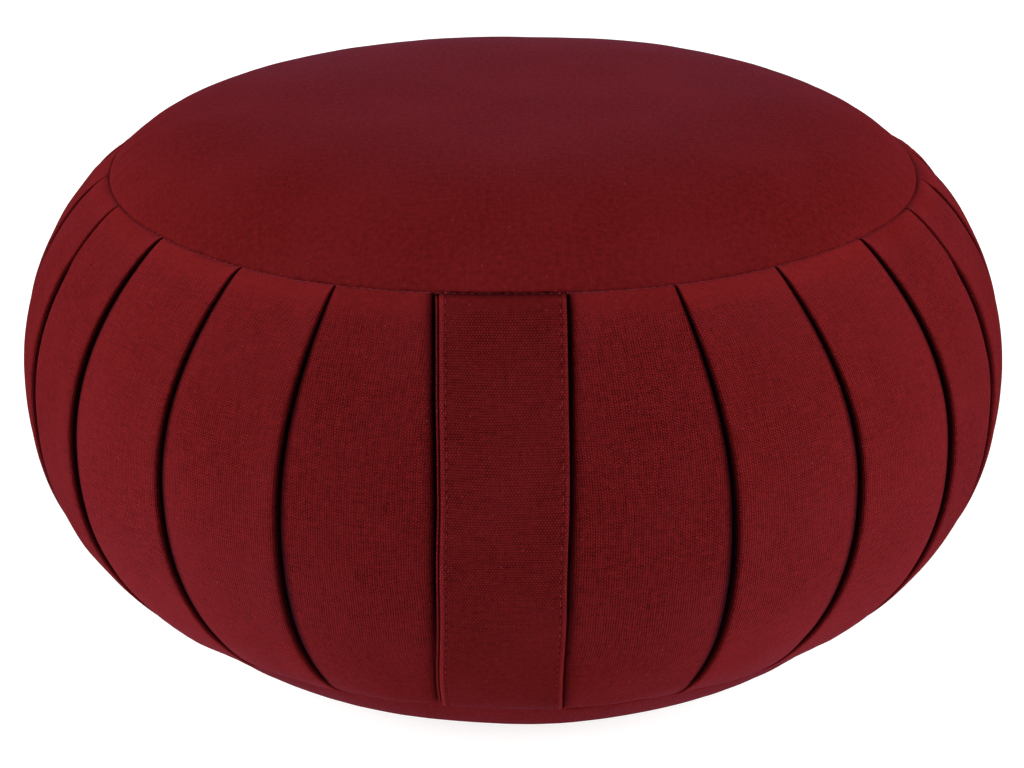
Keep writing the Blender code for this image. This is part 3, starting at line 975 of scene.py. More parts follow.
@dataclass(frozen=True)
class ThreadFinish:
    """Spun cotton sewing thread: matt, with a fine twist."""

    name: str
    colour: str
    dark: str
    twist: float = 0.0005               # length of one twist
    depth: float = 0.00008
    roughness: float = 0.9

    def material(self) -> bpy.types.Material:
        """Build the material.

        Returns:
            A material that follows the piece's own coordinates.
        """
        made, tree = new_material(self.name)
        where = add_node(tree, "ShaderNodeTexCoord").outputs["Object"]
        twist = add_node(tree, "ShaderNodeTexNoise",
                         {"Vector": where, "Scale": 1 / self.twist, "Detail": 1.0})
        share = add_node(tree, "ShaderNodeMapRange",
                         {"Value": twist, "From Min": 0.35, "From Max": 0.65})
        colour = add_node(tree, "ShaderNodeMix",
                          {0: share, 6: linear(self.dark), 7: linear(self.colour)},
                          data_type="RGBA")
        bump = add_node(tree, "ShaderNodeBump",
                        {"Height": twist, "Distance": self.depth, "Strength": 0.6})
        shader = add_node(tree, "ShaderNodeBsdfPrincipled", {
            "Base Color": colour.outputs[2],
            "Roughness": self.roughness,
            "Specular IOR Level": 0.0,
            "Normal": bump,
        })
        add_node(tree, "ShaderNodeOutputMaterial", {0: shader})
        return made


@dataclass(frozen=True)
class FloorFinish:
    """Matt white table, lit softly from below, with the faintest cloudiness."""

    name: str = "white light table"
    colour: str = "aeadac"
    cloud: str = "a8a7a6"
    glow: float = 0.84

    def material(self) -> bpy.types.Material:
        """Build the material.

        Returns:
            A pale material on Object coordinates.
        """
        made = bpy.data.materials.new(self.name)
        made.use_nodes = True
        tree = made.node_tree
        shader = tree.nodes["Principled BSDF"]
        where = add_node(tree, "ShaderNodeTexCoord").outputs["Object"]
        cloud = add_node(tree, "ShaderNodeTexNoise", {"Vector": where, "Scale": 4.0, "Detail": 2.0})
        colour = add_node(tree, "ShaderNodeMix",
                          {0: cloud, 6: linear(self.colour), 7: linear(self.cloud)},
                          data_type="RGBA")
        tree.links.new(colour.outputs[2], shader.inputs["Base Color"])
        shader.inputs["Roughness"].default_value = 0.9
        shader.inputs["Emission Color"].default_value = linear("ffffff")
        shader.inputs["Emission Strength"].default_value = self.glow
        return made


# ---------------------------------------------------------------- the pieces

@dataclass
class PleatedBand:
    """The filled body: the side band with its pleats, closed under both panels."""

    layout: BandLayout
    filling: Filling
    finish: CanvasFinish
    finest_row: float = 0.0003
    widest_row: float = 0.0021
    row_growth: float = 0.16
    panel_shares: tuple = (0.06, 0.14, 0.24, 0.36, 0.50, 0.64, 0.76, 0.87, 0.95)
    front_shares: tuple = (0.12, 0.24, 0.36, 0.50, 0.64, 0.76, 0.88)
    # The band's edge beside the strap, in millimetres: outwards, down, and painted shade.
    channel_lip: tuple = ((0.15, 1.30, -0.86), (0.45, 0.80, -0.66), (0.9, 0.42, -0.46),
                          (1.5, 0.16, -0.28), (2.2, 0.02, -0.14), (3.2, -0.08, -0.04),
                          (4.6, -0.10, 0.0))
    # The channel's bed below the strap: outwards from half the strap's width, in
    # millimetres, share of the gap's depth against the bed's, and painted shade.
    channel_bed: tuple = ((-9.75, 0.0, -0.5), (-3.0, 0.0, -0.5), (-1.2, 0.1, -0.8),
                          (-0.8, 0.7, -0.9), (-0.2, 1.0, -1.0))
    # Up the side of the gap: share of its width, share of its depth.
    channel_wall: tuple = ((0.6, 1.0), (0.95, 0.70), (1.0, 0.42))
    seam_shade: float = 0.46            # painted shade where the cloth dives into a seam
    top_painted_light: float = 0.26               # painted light: the cloth is painted a little paler below the top seam
    top_painted_light_reach: float = 0.034
    panel_painted_light: tuple = (0.0, 0.22, 0.25, 0.03, 0.0)        # painted light on the panels, from the strap on
    inner_drop: float = 0.0034          # the body lies this far inside the round panels
    rim_inset: float = 0.0004           # and its rim this far inside the groove
    panel_shift: float = 0.31           # the weave doesn't run on from panel to panel
    crown_shares: tuple = (0.985, 0.93, 0.82, 0.65, 0.40, 0.18)
    base_shares: tuple = (0.975, 0.90, 0.80, 0.70, 0.40, 0.18)

    def fold(self, number: int, v: Array) -> list[tuple[Array, Array, Array, int]]:
        """Columns of one pleat, from the nearer panel to the one that laps over it.

        Args:
            number: the pleat's number round the cushion.
            v: places of the rows.

        Returns:
            For each column its distance across in metres, its offset, its wear
            above 0 and its painted shade inside the fold below 0, and 0 for the
            nearer panel or 1 for the far one.
        """
        plan, form = self.layout.plan, self.layout.form
        habit = plan.habit(self.layout.pleats[number][1])
        draw = np.random.default_rng(100 + number)
        ease = form.seam_ease(v, form.fold_reach)
        gapes = habit.openness(v)
        phase = draw.uniform(0, math.tau)
        ripple = 1 + plan.slit_ripple * np.sin(plan.slit_waves * v * math.pi + phase)
        slit = rounded_table(v, plan.slit) * habit.slit * ripple * draw.uniform(*plan.uneven)
        slit = 0.001 * (slit * gapes + plan.shut_slit)
        middle = 0.001 * rounded_table(v, tuple(zip(plan.stray_places, habit.stray)))
        rounded = plan.shut_round + (1 - plan.shut_round) * gapes
        near, far = (
            0.001 * rounded_table(v, table) * rounding * draw.uniform(*plan.uneven) * rounded
            for table, rounding in ((plan.near_round, habit.near), (plan.far_round, habit.far)))
        roll = habit.roll * ease * draw.uniform(*plan.uneven_roll)
        depth = plan.depth * ease + plan.least_depth
        near_sunk = np.minimum(near * 0.3, depth * 0.35)
        far_sunk = np.minimum(far * 0.6, depth * 0.30)
        # Painted shade in the fold, less where the pleat is drawn shut.
        shade = plan.shut_painted_shade + (1 - plan.shut_painted_shade) * gapes
        near_edge, far_edge = middle - slit / 2, middle + slit / 2
        columns = [(near_edge - near - plan.lead, 0.0 * v, 0.0 * v, 0)]
        for step in range(plan.near_steps):
            angle = math.pi / 2 * step / (plan.near_steps - 1)
            share = math.sin(angle)
            columns.append((near_edge - near * (1 - share), -near_sunk * (1 - math.cos(angle)),
                            -plan.near_painted_shade * share ** 2 * (3 - 2 * share) * shade, 0))
        for share, further, sink in plan.walls:
            across = middle + slit * (share - 0.5) + further * 0.001 * ease
            columns.append((across, -depth * sink, -shade, int(share > 0.5)))
        for step in range(plan.far_steps):
            angle = math.pi / 2 * (1 - step / (plan.far_steps - 1))
            share = math.sin(angle)
            columns.append((far_edge + far * (1 - share),
                            roll - (far_sunk + roll) * (1 - math.cos(angle)),
                            -plan.far_painted_shade * share ** 1.8 * shade, 1))
        for across, share in plan.beyond:
            columns.append((far_edge + far + across * 0.001 * ease, roll * share,
                            plan.roll_rub * share * gapes, 1))
        return columns

    def channel(self, side: Side, v: Array) -> list[tuple[Array, Array, Array]]:
        """Columns of half the strap's channel, from its middle out to the band.

        Args:
            side: which half.
            v: places of the rows.

        Returns:
            For each column its distance from the strap's middle, its offset
            and its painted shade (below 0 in and beside the gap).
        """
        strap, form, plan = self.layout.strap, self.layout.form, self.layout.plan
        half, slit = strap.width / 2, strap.slits[side]
        bed = strap.lift(form, v)[0] - strap.gap
        ease = form.seam_ease(v, form.fold_reach)
        gape = strap.gape(v)
        open_depth = plan.shut_round + (1 - plan.shut_round) * gape
        floor = np.minimum(bed, -strap.slit_depth * ease ** 2 * open_depth)
        shade = (plan.shut_painted_shade + (1 - plan.shut_painted_shade) * gape) * strap.shade[side]
        made = [(half + out * 0.001, bed * (1 - sunk) + floor * sunk, dark)
                for out, sunk, dark in self.channel_bed]
        made += [(half + slit * share, floor * sink, -1.0) for share, sink in self.channel_wall]
        made += [(half + slit + out * 0.001, -down * 0.001 * ease, dark)
                 for out, down, dark in self.channel_lip]
        return [(across + 0.0 * v, offset, dark * (shade if dark < 0 else 1.0) + 0.0 * v)
                for across, offset, dark in made]

    def columns(self, v: Array) -> tuple[Array, Array, Array, Array]:
        """All columns once round the cushion.

        Args:
            v: places of the rows.

        Returns:
            Angle, offset, and wear with painted shade by row and column, and
            for each column the panel it belongs to.
        """
        layout = self.layout
        radius = layout.form.outline(v)[0]
        turns, offsets, wear_and_painted_shade, panels = [], [], [], []

        def keep(turn: Array, offset: Array, wear_and_painted_light: Array | float, panel: int) -> None:
            """Add one column."""
            turns.append(turn)
            offsets.append(offset)
            wear_and_painted_shade.append(wear_and_painted_light + 0.0 * v)
            panels.append(panel)

        # A face belongs to the panel of the column before it, so the bed has one column
        # more on the left.
        strap_panel, bed_columns = layout.panels, len(self.channel_bed)
        shift = layout.strap.middle(v)
        bed = layout.strap.lift(layout.form, v)[0] - layout.strap.gap
        keep(shift / radius, bed, 0.0, strap_panel)
        for index, (across, offset, wear_and_painted_light) in enumerate(self.channel(Side.RIGHT, v)):
            panel = strap_panel if index < bed_columns else 0
            keep((across + shift) / radius, offset, wear_and_painted_light, panel)
        for panel in range(layout.panels):
            last = panel == layout.panels - 1
            if last:
                left = self.channel(Side.LEFT, v)[::-1]
                stop = math.tau + (shift - left[0][0]) / radius
            else:
                side = layout.pleats[panel][0]
                centre = layout.pleat_turn(panel, v)
                fold = self.fold(panel, v)
                if side is Side.LEFT:
                    fold = [(*column, 1 - far) for *column, far in fold[::-1]]
                stop = centre + side.value * fold[0][0] / radius
            start = turns[-1]
            front = panel == 0 or last
            for share in (self.front_shares if front else self.panel_shares):
                keep(start + (stop - start) * share, 0.0 * v, 0.0, panel)
            if last:
                for index, (across, offset, wear_and_painted_light) in enumerate(left):
                    inside = index >= len(left) - bed_columns - 1
                    keep(math.tau + (shift - across) / radius, offset, wear_and_painted_light,
                         strap_panel if inside else panel)
            else:
                for across, offset, wear_and_painted_light, far in fold:
                    keep(centre + side.value * across / radius, offset, wear_and_painted_light, panel + far)
        return (*(np.stack(rows, axis=1) for rows in (turns, offsets, wear_and_painted_shade)), np.asarray(panels))

    def swell(self, v: Array, turn: Array, panels: Array) -> Array:
        """Swell of each column with the panel it belongs to."""
        total = np.zeros_like(turn)
        rows = v[:, None]
        for panel in range(self.layout.panels):
            mine = np.nonzero(panels == panel)[0]
            start, stop = self.layout.bounds(panel, rows)
            share = (turn[:, mine] - start) / (stop - start)
            total[:, mine] = self.filling.band(np.broadcast_to(rows, share.shape),
                                               np.full(share.shape, float(panel)), share)
        return total

    def pucker(self, v: Array, turn: Array) -> Array:
        """Small gathers in the cloth close to both seams."""
        form = self.layout.form
        lengths = form.arc(v)[:, None]
        return SEAM.pucker * (SEAM.gathers(lengths, turn, 21)
                              + SEAM.gathers(form.seam_to_seam - lengths, turn, 22))

    def cloth_map(self, points: Array, v: Array, panels: Array) -> tuple[Array, Array, Array]:
        """Cloth coordinates of the columns.

        Args:
            points: places by row and column.
            v: places of the rows.
            panels: panel of the face after each column.

        Returns:
            Coordinate across at the near and the far side of each face, and
            the coordinate along.
        """
        closed = np.concatenate([points, points[:, :1]], axis=1)
        steps = np.linalg.norm(np.diff(closed, axis=1), axis=-1)
        run = np.concatenate([np.zeros((len(v), 1)), np.cumsum(steps, axis=1)], axis=1)
        near, far = run[:, :-1].copy(), run[:, 1:].copy()
        for panel in np.unique(panels):
            mine = np.nonzero(panels == panel)[0]
            middle = run[:, [mine[len(mine) // 2]]]
            for side in (near, far):
                side[:, mine] += self.panel_shift * panel - middle
        along = np.broadcast_to(self.layout.form.arc(v)[:, None], near.shape)
        return near, far, along

    def cap(self, mesh: PieceMesh, ring: Array, turn: Array, face: Face) -> None:
        """Close the body under a round panel."""
        form, upward = self.layout.form, face is Face.TOP
        shares = self.crown_shares if upward else self.base_shares
        radius = form.top_radius if upward else form.base_radius
        height = form.crown_height if upward else form.foot_height
        drop = face.value * self.inner_drop
        inset = SEAM.depth * SEAM.inward + self.rim_inset
        rim = form.place(radius - inset, height(1.0, turn) - drop, turn)
        rings = [ring, mesh.add_points(rim)]
        for share in shares:
            points = form.place(radius * share, height(share, turn) - drop, turn)
            rings.append(mesh.add_points(points))
        numbers = np.stack(rings)
        flat = np.zeros((*numbers.shape, 2))
        flat[..., 0] = np.linspace(0, 0.8, numbers.shape[1])
        flat[..., 1] = np.linspace(0, 0.13, numbers.shape[0])[:, None]
        mesh.add_grid(numbers, flat, closed=True, flip=upward)
        none = np.zeros(1)
        middle = form.place(none, height(none, none) - drop, 0.0)
        mesh.add_fan(numbers[-1], middle, flat[-1], flat[-1, 0], flip=not upward)

    def band_wear_and_painted_light(self, v: Array, turn: Array, wear_and_painted_shade: Array, panels: Array) -> Array:
        """How worn the whole band is, with its painted light and painted shade.

        Args:
            v: places of the rows.
            turn: angles by row and column.
            wear_and_painted_shade: wear and painted shade of the folds, by row and column.
            panels: panel of each column.

        Returns:
            Values by row and column: painted light below the top seam and on the
            panels beside the front, painted shade along both seams and in the folds, and wear.
        """
        lengths = self.layout.form.arc(v)[:, None]
        seam = np.minimum(lengths, self.layout.form.seam_to_seam - lengths) / SEAM.dark_reach
        # Painted light below the top seam and on the panels beside the front, none inside the
        # folds.
        from_strap = np.minimum(panels, self.layout.panels - 1 - panels)
        faded = np.asarray(self.panel_painted_light)[np.clip(from_strap, 0, len(self.panel_painted_light) - 1)]
        pale = self.top_painted_light * np.exp(-(lengths / self.top_painted_light_reach) ** 2)
        pale = pale + np.where(from_strap < 0, 0.0, faded)
        pale = pale * np.clip(1 + 4 * np.minimum(wear_and_painted_shade, 0), 0, 1)        # none inside the folds
        # Painted shade along both seams.
        dark = self.seam_shade * SEAM.ragged(turn, 61) * np.exp(-seam ** 2)
        return np.minimum(wear_and_painted_shade + pale, pale + np.maximum(wear_and_painted_shade, 0) - dark)

    def build(self) -> bpy.types.Object:
        """Build and dress the piece.

        Returns:
            The closed, filled body.
        """
        form = self.layout.form
        v = form.row_places(self.finest_row, self.widest_row, self.row_growth)
        turn, offset, wear_and_painted_shade, panels = self.columns(v)
        offset = offset + self.swell(v, turn, panels) + self.pucker(v, turn)
        points = form.off_band(v[:, None], turn, offset)
        near, far, along = self.cloth_map(points, v, panels)
        mesh = PieceMesh()
        numbers = mesh.add_points(points, self.band_wear_and_painted_light(v, turn, wear_and_painted_shade, panels))
        after = np.roll(numbers, -1, axis=1)
        corners = np.stack([numbers[:-1], numbers[1:], after[1:], after[:-1]], axis=-1)
        upper, lower = slice(None, -1), slice(1, None)
        where = np.stack([
            np.stack([across[rows], along[rows]], axis=-1)
            for across, rows in ((near, upper), (near, lower), (far, lower), (far, upper))
        ], axis=-2)
        mesh.add_quads(corners, where)
        self.cap(mesh, numbers[0], turn[0], Face.TOP)
        self.cap(mesh, numbers[-1], turn[-1], Face.BASE)
        piece = mesh.build("pleated_band", self.finish.material())
        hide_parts("pleated_cushion")
        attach(piece, BODY)
        LOG.info("pleated band: %d rows, %d columns", *turn.shape)
        return piece


@dataclass
class RoundPanel:
    """A round panel of canvas, sewn into the band along its rim."""

    form: CushionForm
    filling: Filling
    finish: CanvasFinish
    face: Face
    node: str
    sectors: int = 480
    rim_clearance: float = 0.0003
    thickness: float = 0.0015
    seam_shade: float = 0.40            # painted shade where the cloth dives into the seam
    strap_reach: float = 0.135          # the painted shadow of the strap's end reaches this far along the top seam to each side
    strap_shade: float = 1.4            # and adds this much painted shade to the seam's line there
    finest_ring: float = 0.0003
    widest_ring: float = 0.0042
    ring_growth: float = 0.14
    under_shares: tuple = (1.0, 0.985, 0.95, 0.88, 0.78, 0.66, 0.5, 0.3, 0.12)

    def radius(self) -> float:
        """Radius at the rim."""
        whole = self.form.top_radius if self.face is Face.TOP else self.form.base_radius
        return whole - self.rim_clearance

    def ring_shares(self) -> Array:
        """Shares of the radius at which the rings lie, from the rim inwards."""
        gone = [0.0]
        radius = self.radius()
        while gone[-1] < radius * 0.985:
            step = self.finest_ring + self.ring_growth * gone[-1]
            gone.append(gone[-1] + min(step, self.widest_ring))
        return np.maximum(1 - np.asarray(gone[:-1]) / radius, 0.02)

    def surface(self, share: Array, turn: Array, drop: float) -> Array:
        """Points of the panel.

        Args:
            share: shares of the radius, as a column.
            turn: angles, as a row.
            drop: how far inside the outer face.

        Returns:
            Points by ring and sector.
        """
        form, top = self.form, self.face is Face.TOP
        radius = self.radius()
        rim = (1 - share) * radius
        rolled = SEAM.depth * np.exp(-(rim / SEAM.lip) ** 2)
        ripple = SEAM.pucker * SEAM.gathers(rim, turn, 31 + self.face.value)
        if top:
            height = form.crown_height(share, turn)
            height = height + self.filling.crown(np.broadcast_to(share, height.shape),
                                                 np.broadcast_to(turn, height.shape))
        else:
            height = form.foot_height(share, turn)
            flat = form.base_flat / form.base_radius
            ripple = ripple * np.clip((share - flat) / (1 - flat) * 3, 0, 1)    # none on the flat
        height = height + self.face.value * (ripple - rolled * SEAM.downward - drop)
        return form.place(radius * share - rolled * SEAM.inward, height, turn)

    def flat_radius(self) -> float:
        """Radius of the round panel when it was cut, without its seam allowance."""
        share = self.ring_shares()[:, None]
        points = self.surface(share, np.zeros((1, 1)), 0.0)[:, 0]
        rings = np.linalg.norm(np.diff(points, axis=0), axis=1).sum()
        return float(rings + self.radius() * share[-1, 0])

    def build(self) -> bpy.types.Object:
        """Build and dress the piece.

        Returns:
            A thin closed sheet.
        """
        top = self.face is Face.TOP
        share = self.ring_shares()[:, None]
        turn = np.arange(self.sectors)[None, :] * math.tau / self.sectors
        outer = self.surface(share, turn, 0.0)
        inner = self.surface(np.asarray(self.under_shares)[:, None], turn, self.thickness)
        steps = np.linalg.norm(np.diff(outer, axis=0), axis=-1)
        inward = np.concatenate([np.zeros((1, self.sectors)), np.cumsum(steps, axis=0)])
        under_run = self.radius() * np.asarray(self.under_shares)[:, None]
        cloth, under = (np.stack([run * np.sin(turn), run * np.cos(turn)], axis=-1)
                        for run in (self.flat_radius() - inward, under_run))
        mesh = PieceMesh()
        # Painted shade along the seam, with the strap's painted shadow above its end.
        aside = np.minimum(turn, math.tau - turn) / self.strap_reach
        ragged = SEAM.ragged(turn, 62) + self.strap_shade * np.exp(-aside ** 8) * top
        rim = (1 - share) * self.radius() / SEAM.dark_reach
        wear_and_painted_light = -self.seam_shade * ragged * np.exp(-rim ** 2)
        outer_numbers = mesh.add_points(outer, wear_and_painted_light)
        inner_numbers = mesh.add_points(inner)
        mesh.add_grid(outer_numbers, cloth, closed=True, flip=top)
        mesh.add_grid(inner_numbers, under, closed=True, flip=not top)
        edge = np.stack([inner_numbers[0], outer_numbers[0]])
        mesh.add_grid(edge, np.stack([under[0], cloth[0]]), closed=True, flip=top)
        hub = np.zeros((1, 1))
        for numbers, where, drop, flip in ((outer_numbers, cloth, 0.0, not top),
                                           (inner_numbers, under, self.thickness, top)):
            middle = self.surface(hub, hub, drop)[0, 0]
            mesh.add_fan(numbers[-1], middle, where[-1], np.zeros(2), flip=flip)
        piece = mesh.build(f"{self.node}_cloth", self.finish.material())
        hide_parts(self.node)
        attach(piece, BODY)
        flat = self.flat_radius()
        LOG.info("%s: cut %.0f mm across", self.node, 2000 * flat)
        return piece


@dataclass
class CarryStrap:
    """Canvas folded to a flat band, stitched along both edges and caught in both seams."""

    form: CushionForm
    sizes: StrapSizes
    finish: CanvasFinish
    row_step: float = 0.0012
    # Across the strap: millimetres from the middle and above its outer face, and how worn it is,
    # with painted shade in its grooves and round its edges where the value is below 0.
    # On the left a lower layer shows past the stitched fold of the upper one.
    outer: tuple = (
        (-19.50, -1.50, -0.6), (-19.46, -1.10, -0.2), (-19.28, -0.84, 0.3), (-18.98, -0.76, 0.3),
        (-18.74, -0.84, -0.1), (-18.58, -1.10, -0.6), (-18.40, -1.10, -0.7), (-18.36, -0.80, -0.3),
        (-18.28, -0.42, 0.2), (-18.08, -0.14, 0.6), (-17.78, 0.00, 0.8), (-17.45, 0.05, 0.8),
        (-17.12, 0.03, 0.6), (-16.86, -0.06, 0.3), (-16.62, -0.20, -0.15), (-16.40, -0.28, -0.25),
        (-16.16, -0.20, -0.15), (-15.90, -0.06, 0.0), (-15.40, 0.02, 0.0), (-14.00, 0.02, 0.0),
        (-12.00, 0.00, 0.0), (-9.00, 0.02, 0.0), (-6.00, 0.04, 0.0), (-3.00, 0.06, 0.0),
        (0.00, 0.06, 0.0), (3.00, 0.06, 0.0), (6.00, 0.04, 0.0), (9.00, 0.02, 0.0),
        (12.00, 0.00, 0.0), (14.80, 0.02, 0.0), (16.20, 0.04, 0.0), (16.90, 0.02, 0.0),
        (17.24, -0.06, 0.0),
        (17.48, -0.18, -0.15), (17.70, -0.20, -0.2), (17.92, -0.08, -0.05), (18.26, 0.06, 0.25),
        (18.72, 0.10, 0.5), (19.10, 0.00, 0.5), (19.34, -0.22, 0.15), (19.48, -0.62, -0.4),
        (19.50, -1.10, -0.7), (19.30, -1.60, -0.9), (18.90, -2.00, -1.0),
    )
    inner: tuple = (
        (17.50, -2.30, 0.0), (12.00, -2.38, 0.0), (6.00, -2.40, 0.0), (0.00, -2.40, 0.0),
        (-6.00, -2.40, 0.0), (-12.00, -2.38, 0.0), (-17.50, -2.30, 0.0), (-18.90, -2.10, 0.0),
        (-19.35, -1.85, 0.0),
    )
    stitch_lines: tuple = (-16.40, 17.60)
    stitch_ends: tuple[float, float] = (0.012, 0.985)       # places down the band
    stitch_sink: float = 0.00020        # how far painted shade reaches from its ends, where they dive into the seams
    end_shade_reach: float = 0.0013     # how far its ends darken where they dive into the seams
    end_rows: tuple = (0.0005, 0.0009)  # extra rows close to its ends
    end_clearance: float = 0.0008       # share of the band that it stops short of a seam
    # Folded and sewn by hand: how far its face, its edges and its middle line wander.
    face_waver: float = 0.00016
    edge_waver: float = 0.00012
    side_waver: float = 0.00008
    corner_proud: float = 0.0009        # the lower right corner stands a little proud

    def points(self, v: Array, across: Array, level: Array) -> Array:
        """Points of the strap.

        Args:
            v: places down the band, as a column.
            across: metres from the strap's middle, as a row.
            level: metres above its outer face, as a row.

        Returns:
            Points by row and column.
        """
        inner, outer = self.sizes.lift(self.form, v)
        thin = (outer - inner) / self.sizes.thickness
        radius = self.form.outline(v)[0]
        length = self.form.arc(v)
        share = across / (self.sizes.width / 2)
        face = self.face_waver * np.sin(length * 95 + 0.7) * np.sin(length * 41 + 2.0 * share)
        edge = self.edge_waver * np.sin(length * 260 + np.sign(share)) * np.abs(share) ** 6
        corner = np.exp(-((v - 0.80) / 0.13) ** 2) * np.clip(share, 0, 1) ** 3
        ease = self.form.seam_ease(v, self.sizes.reach)
        sideways = self.side_waver * np.sin(length * 120 + 1.1) * ease
        turn = (across + sideways + self.sizes.middle(v.ravel())[:, None]) / radius
        offset = outer + level * thin + (face + edge + self.corner_proud * corner) * ease
        return self.form.off_band(v, turn, offset)

    def build(self) -> bpy.types.Object:
        """Build and dress the strap.

        Returns:
            A thin closed band.
        """
        whole = self.form.seam_to_seam
        marks = np.linspace(0.0, whole, round(whole / self.row_step))
        ends = np.asarray(self.end_rows)
        marks = np.sort(np.concatenate([marks, ends, whole - ends]))
        v = np.interp(marks, self.form.arc(FINE), FINE)
        v = np.clip(v, self.end_clearance, 1 - self.end_clearance)[:, None]
        section = np.asarray(self.outer + self.inner)
        across, level, wear_and_painted_light = section[:, 0] * 0.001, section[:, 1] * 0.001, section[:, 2]
        points = self.points(v, across[None, :], level[None, :])
        turned = np.hypot(np.diff(across), np.diff(level))
        run = np.concatenate([[0.0], np.cumsum(turned)]) + across[0]
        cloth = np.stack(np.broadcast_arrays(run[None, :], self.form.arc(v)), axis=-1)
        mesh = PieceMesh()
        length = self.form.arc(v)
        # Painted shade at both ends, where they dive into the seams.
        ends = np.exp(-(np.minimum(length, whole - length) / self.end_shade_reach) ** 2)
        numbers = mesh.add_points(points, wear_and_painted_light * (1 - ends) - 0.9 * ends)
        mesh.add_grid(numbers, cloth, closed=True, flip=False)
        for row, flip in ((0, False), (-1, True)):
            middle = points[row].mean(axis=0)
            mesh.add_fan(numbers[row], middle, cloth[row], cloth[row].mean(axis=0), flip=flip)
        piece = mesh.build("folded_strap", self.finish.material())
        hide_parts("carry_strap")
        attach(piece, BODY)
        return piece

    def stitch_paths(self) -> list[Array]:
        """The two rows of edge stitching.

        Returns:
            For each row its points from the top seam to the base seam.
        """
        v = np.linspace(*self.stitch_ends, 220)[:, None]
        level = np.full((1, 1), -self.stitch_sink)
        return [self.points(v, np.full((1, 1), line * 0.001), level)[:, 0]
                for line in self.stitch_lines]


@dataclass
class StitchRows:
    """Rows of machine stitches laid along paths on the cloth."""

    name: str
    thread: ThreadFinish
    slot: str
    pitch: float
    length: float
    width: float
    seed: int = 3

    def sizes(self) -> dict[str, float | int]:
        """The node group's inputs by name."""
        return {"Pitch": self.pitch, "Length": self.length, "Width": self.width,
                "Seed": self.seed}

    def tree(self, material: bpy.types.Material) -> bpy.types.NodeTree:
        """Build the node group that lays the stitches.

        Args:
            material: the thread's finish.

        Returns:
            A group with named inputs for the sizes.
        """
        tree = bpy.data.node_groups.new(f"{self.name} layout", "GeometryNodeTree")
        face = tree.interface
        face.new_socket("Geometry", in_out="INPUT", socket_type="NodeSocketGeometry")
        for label, value in self.sizes().items():
            kind = "NodeSocketInt" if isinstance(value, int) else "NodeSocketFloat"
            face.new_socket(label, in_out="INPUT", socket_type=kind).default_value = value
        face.new_socket("Geometry", in_out="OUTPUT", socket_type="NodeSocketGeometry")
        given = add_node(tree, "NodeGroupInput").outputs
        curve = add_node(tree, "GeometryNodeMeshToCurve", {0: given["Geometry"]})
        even = add_node(tree, "GeometryNodeResampleCurve",
                        {"Curve": curve, "Length": given["Pitch"]}, mode="LENGTH")
        bead = add_node(tree, "GeometryNodeMeshUVSphere",
                        {"Segments": 6, "Rings": 5, "Radius": 0.5})
        tangent = add_node(tree, "GeometryNodeInputTangent")
        facing = add_node(tree, "FunctionNodeAlignRotationToVector", {"Vector": tangent}, axis="Z")
        stray = add_node(tree, "FunctionNodeRandomValue", {
            "Min": (0.88, 0.88, 0.86), "Max": (1.1, 1.1, 1.06), "Seed": given["Seed"],
        }, data_type="FLOAT_VECTOR")
        size = add_node(tree, "ShaderNodeCombineXYZ",
                        {0: given["Width"], 1: given["Width"], 2: given["Length"]})
        scale = add_node(tree, "ShaderNodeVectorMath", {0: size, 1: stray}, operation="MULTIPLY")
        laid = add_node(tree, "GeometryNodeInstanceOnPoints", {
            "Points": even, "Instance": bead, "Rotation": facing, "Scale": scale})
        real = add_node(tree, "GeometryNodeRealizeInstances", {0: laid})
        smooth = add_node(tree, "GeometryNodeSetShadeSmooth", {0: real})
        dressed = add_node(tree, "GeometryNodeSetMaterial",
                           {"Geometry": smooth, "Material": material})
        add_node(tree, "NodeGroupOutput", {0: dressed})
        return tree

    def build(self, paths: list[Array]) -> bpy.types.Object:
        """Lay the stitches and turn them into a plain mesh.

        Args:
            paths: points of each row of stitches.

        Returns:
            The stitches as one piece.
        """
        points = np.concatenate(paths)
        edges, start = [], 0
        for path in paths:
            edges += [(i, i + 1) for i in range(start, start + len(path) - 1)]
            start += len(path)
        line = bpy.data.meshes.new(f"{self.name} path")
        line.from_pydata(points.tolist(), edges, [])
        guide = add_object(f"{self.name} path", line)
        material = self.thread.material()
        tree = self.tree(material)
        modifier = guide.modifiers.new("stitches", "NODES")
        modifier.node_group = tree
        for item in tree.interface.items_tree:
            if item.in_out == "INPUT" and item.name in self.sizes():
                modifier[item.identifier] = self.sizes()[item.name]
        evaluated = guide.evaluated_get(bpy.context.evaluated_depsgraph_get())
        mesh = bpy.data.meshes.new_from_object(evaluated)
        mesh.name = self.name
        bpy.data.objects.remove(guide)
        piece = add_object(self.name, mesh)
        if not mesh.materials:
            mesh.materials.append(material)
        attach(piece, BODY)
        LOG.info("%s: %d faces", self.name, len(mesh.polygons))
        return piece


# ---------------------------------------------------------------- the studio

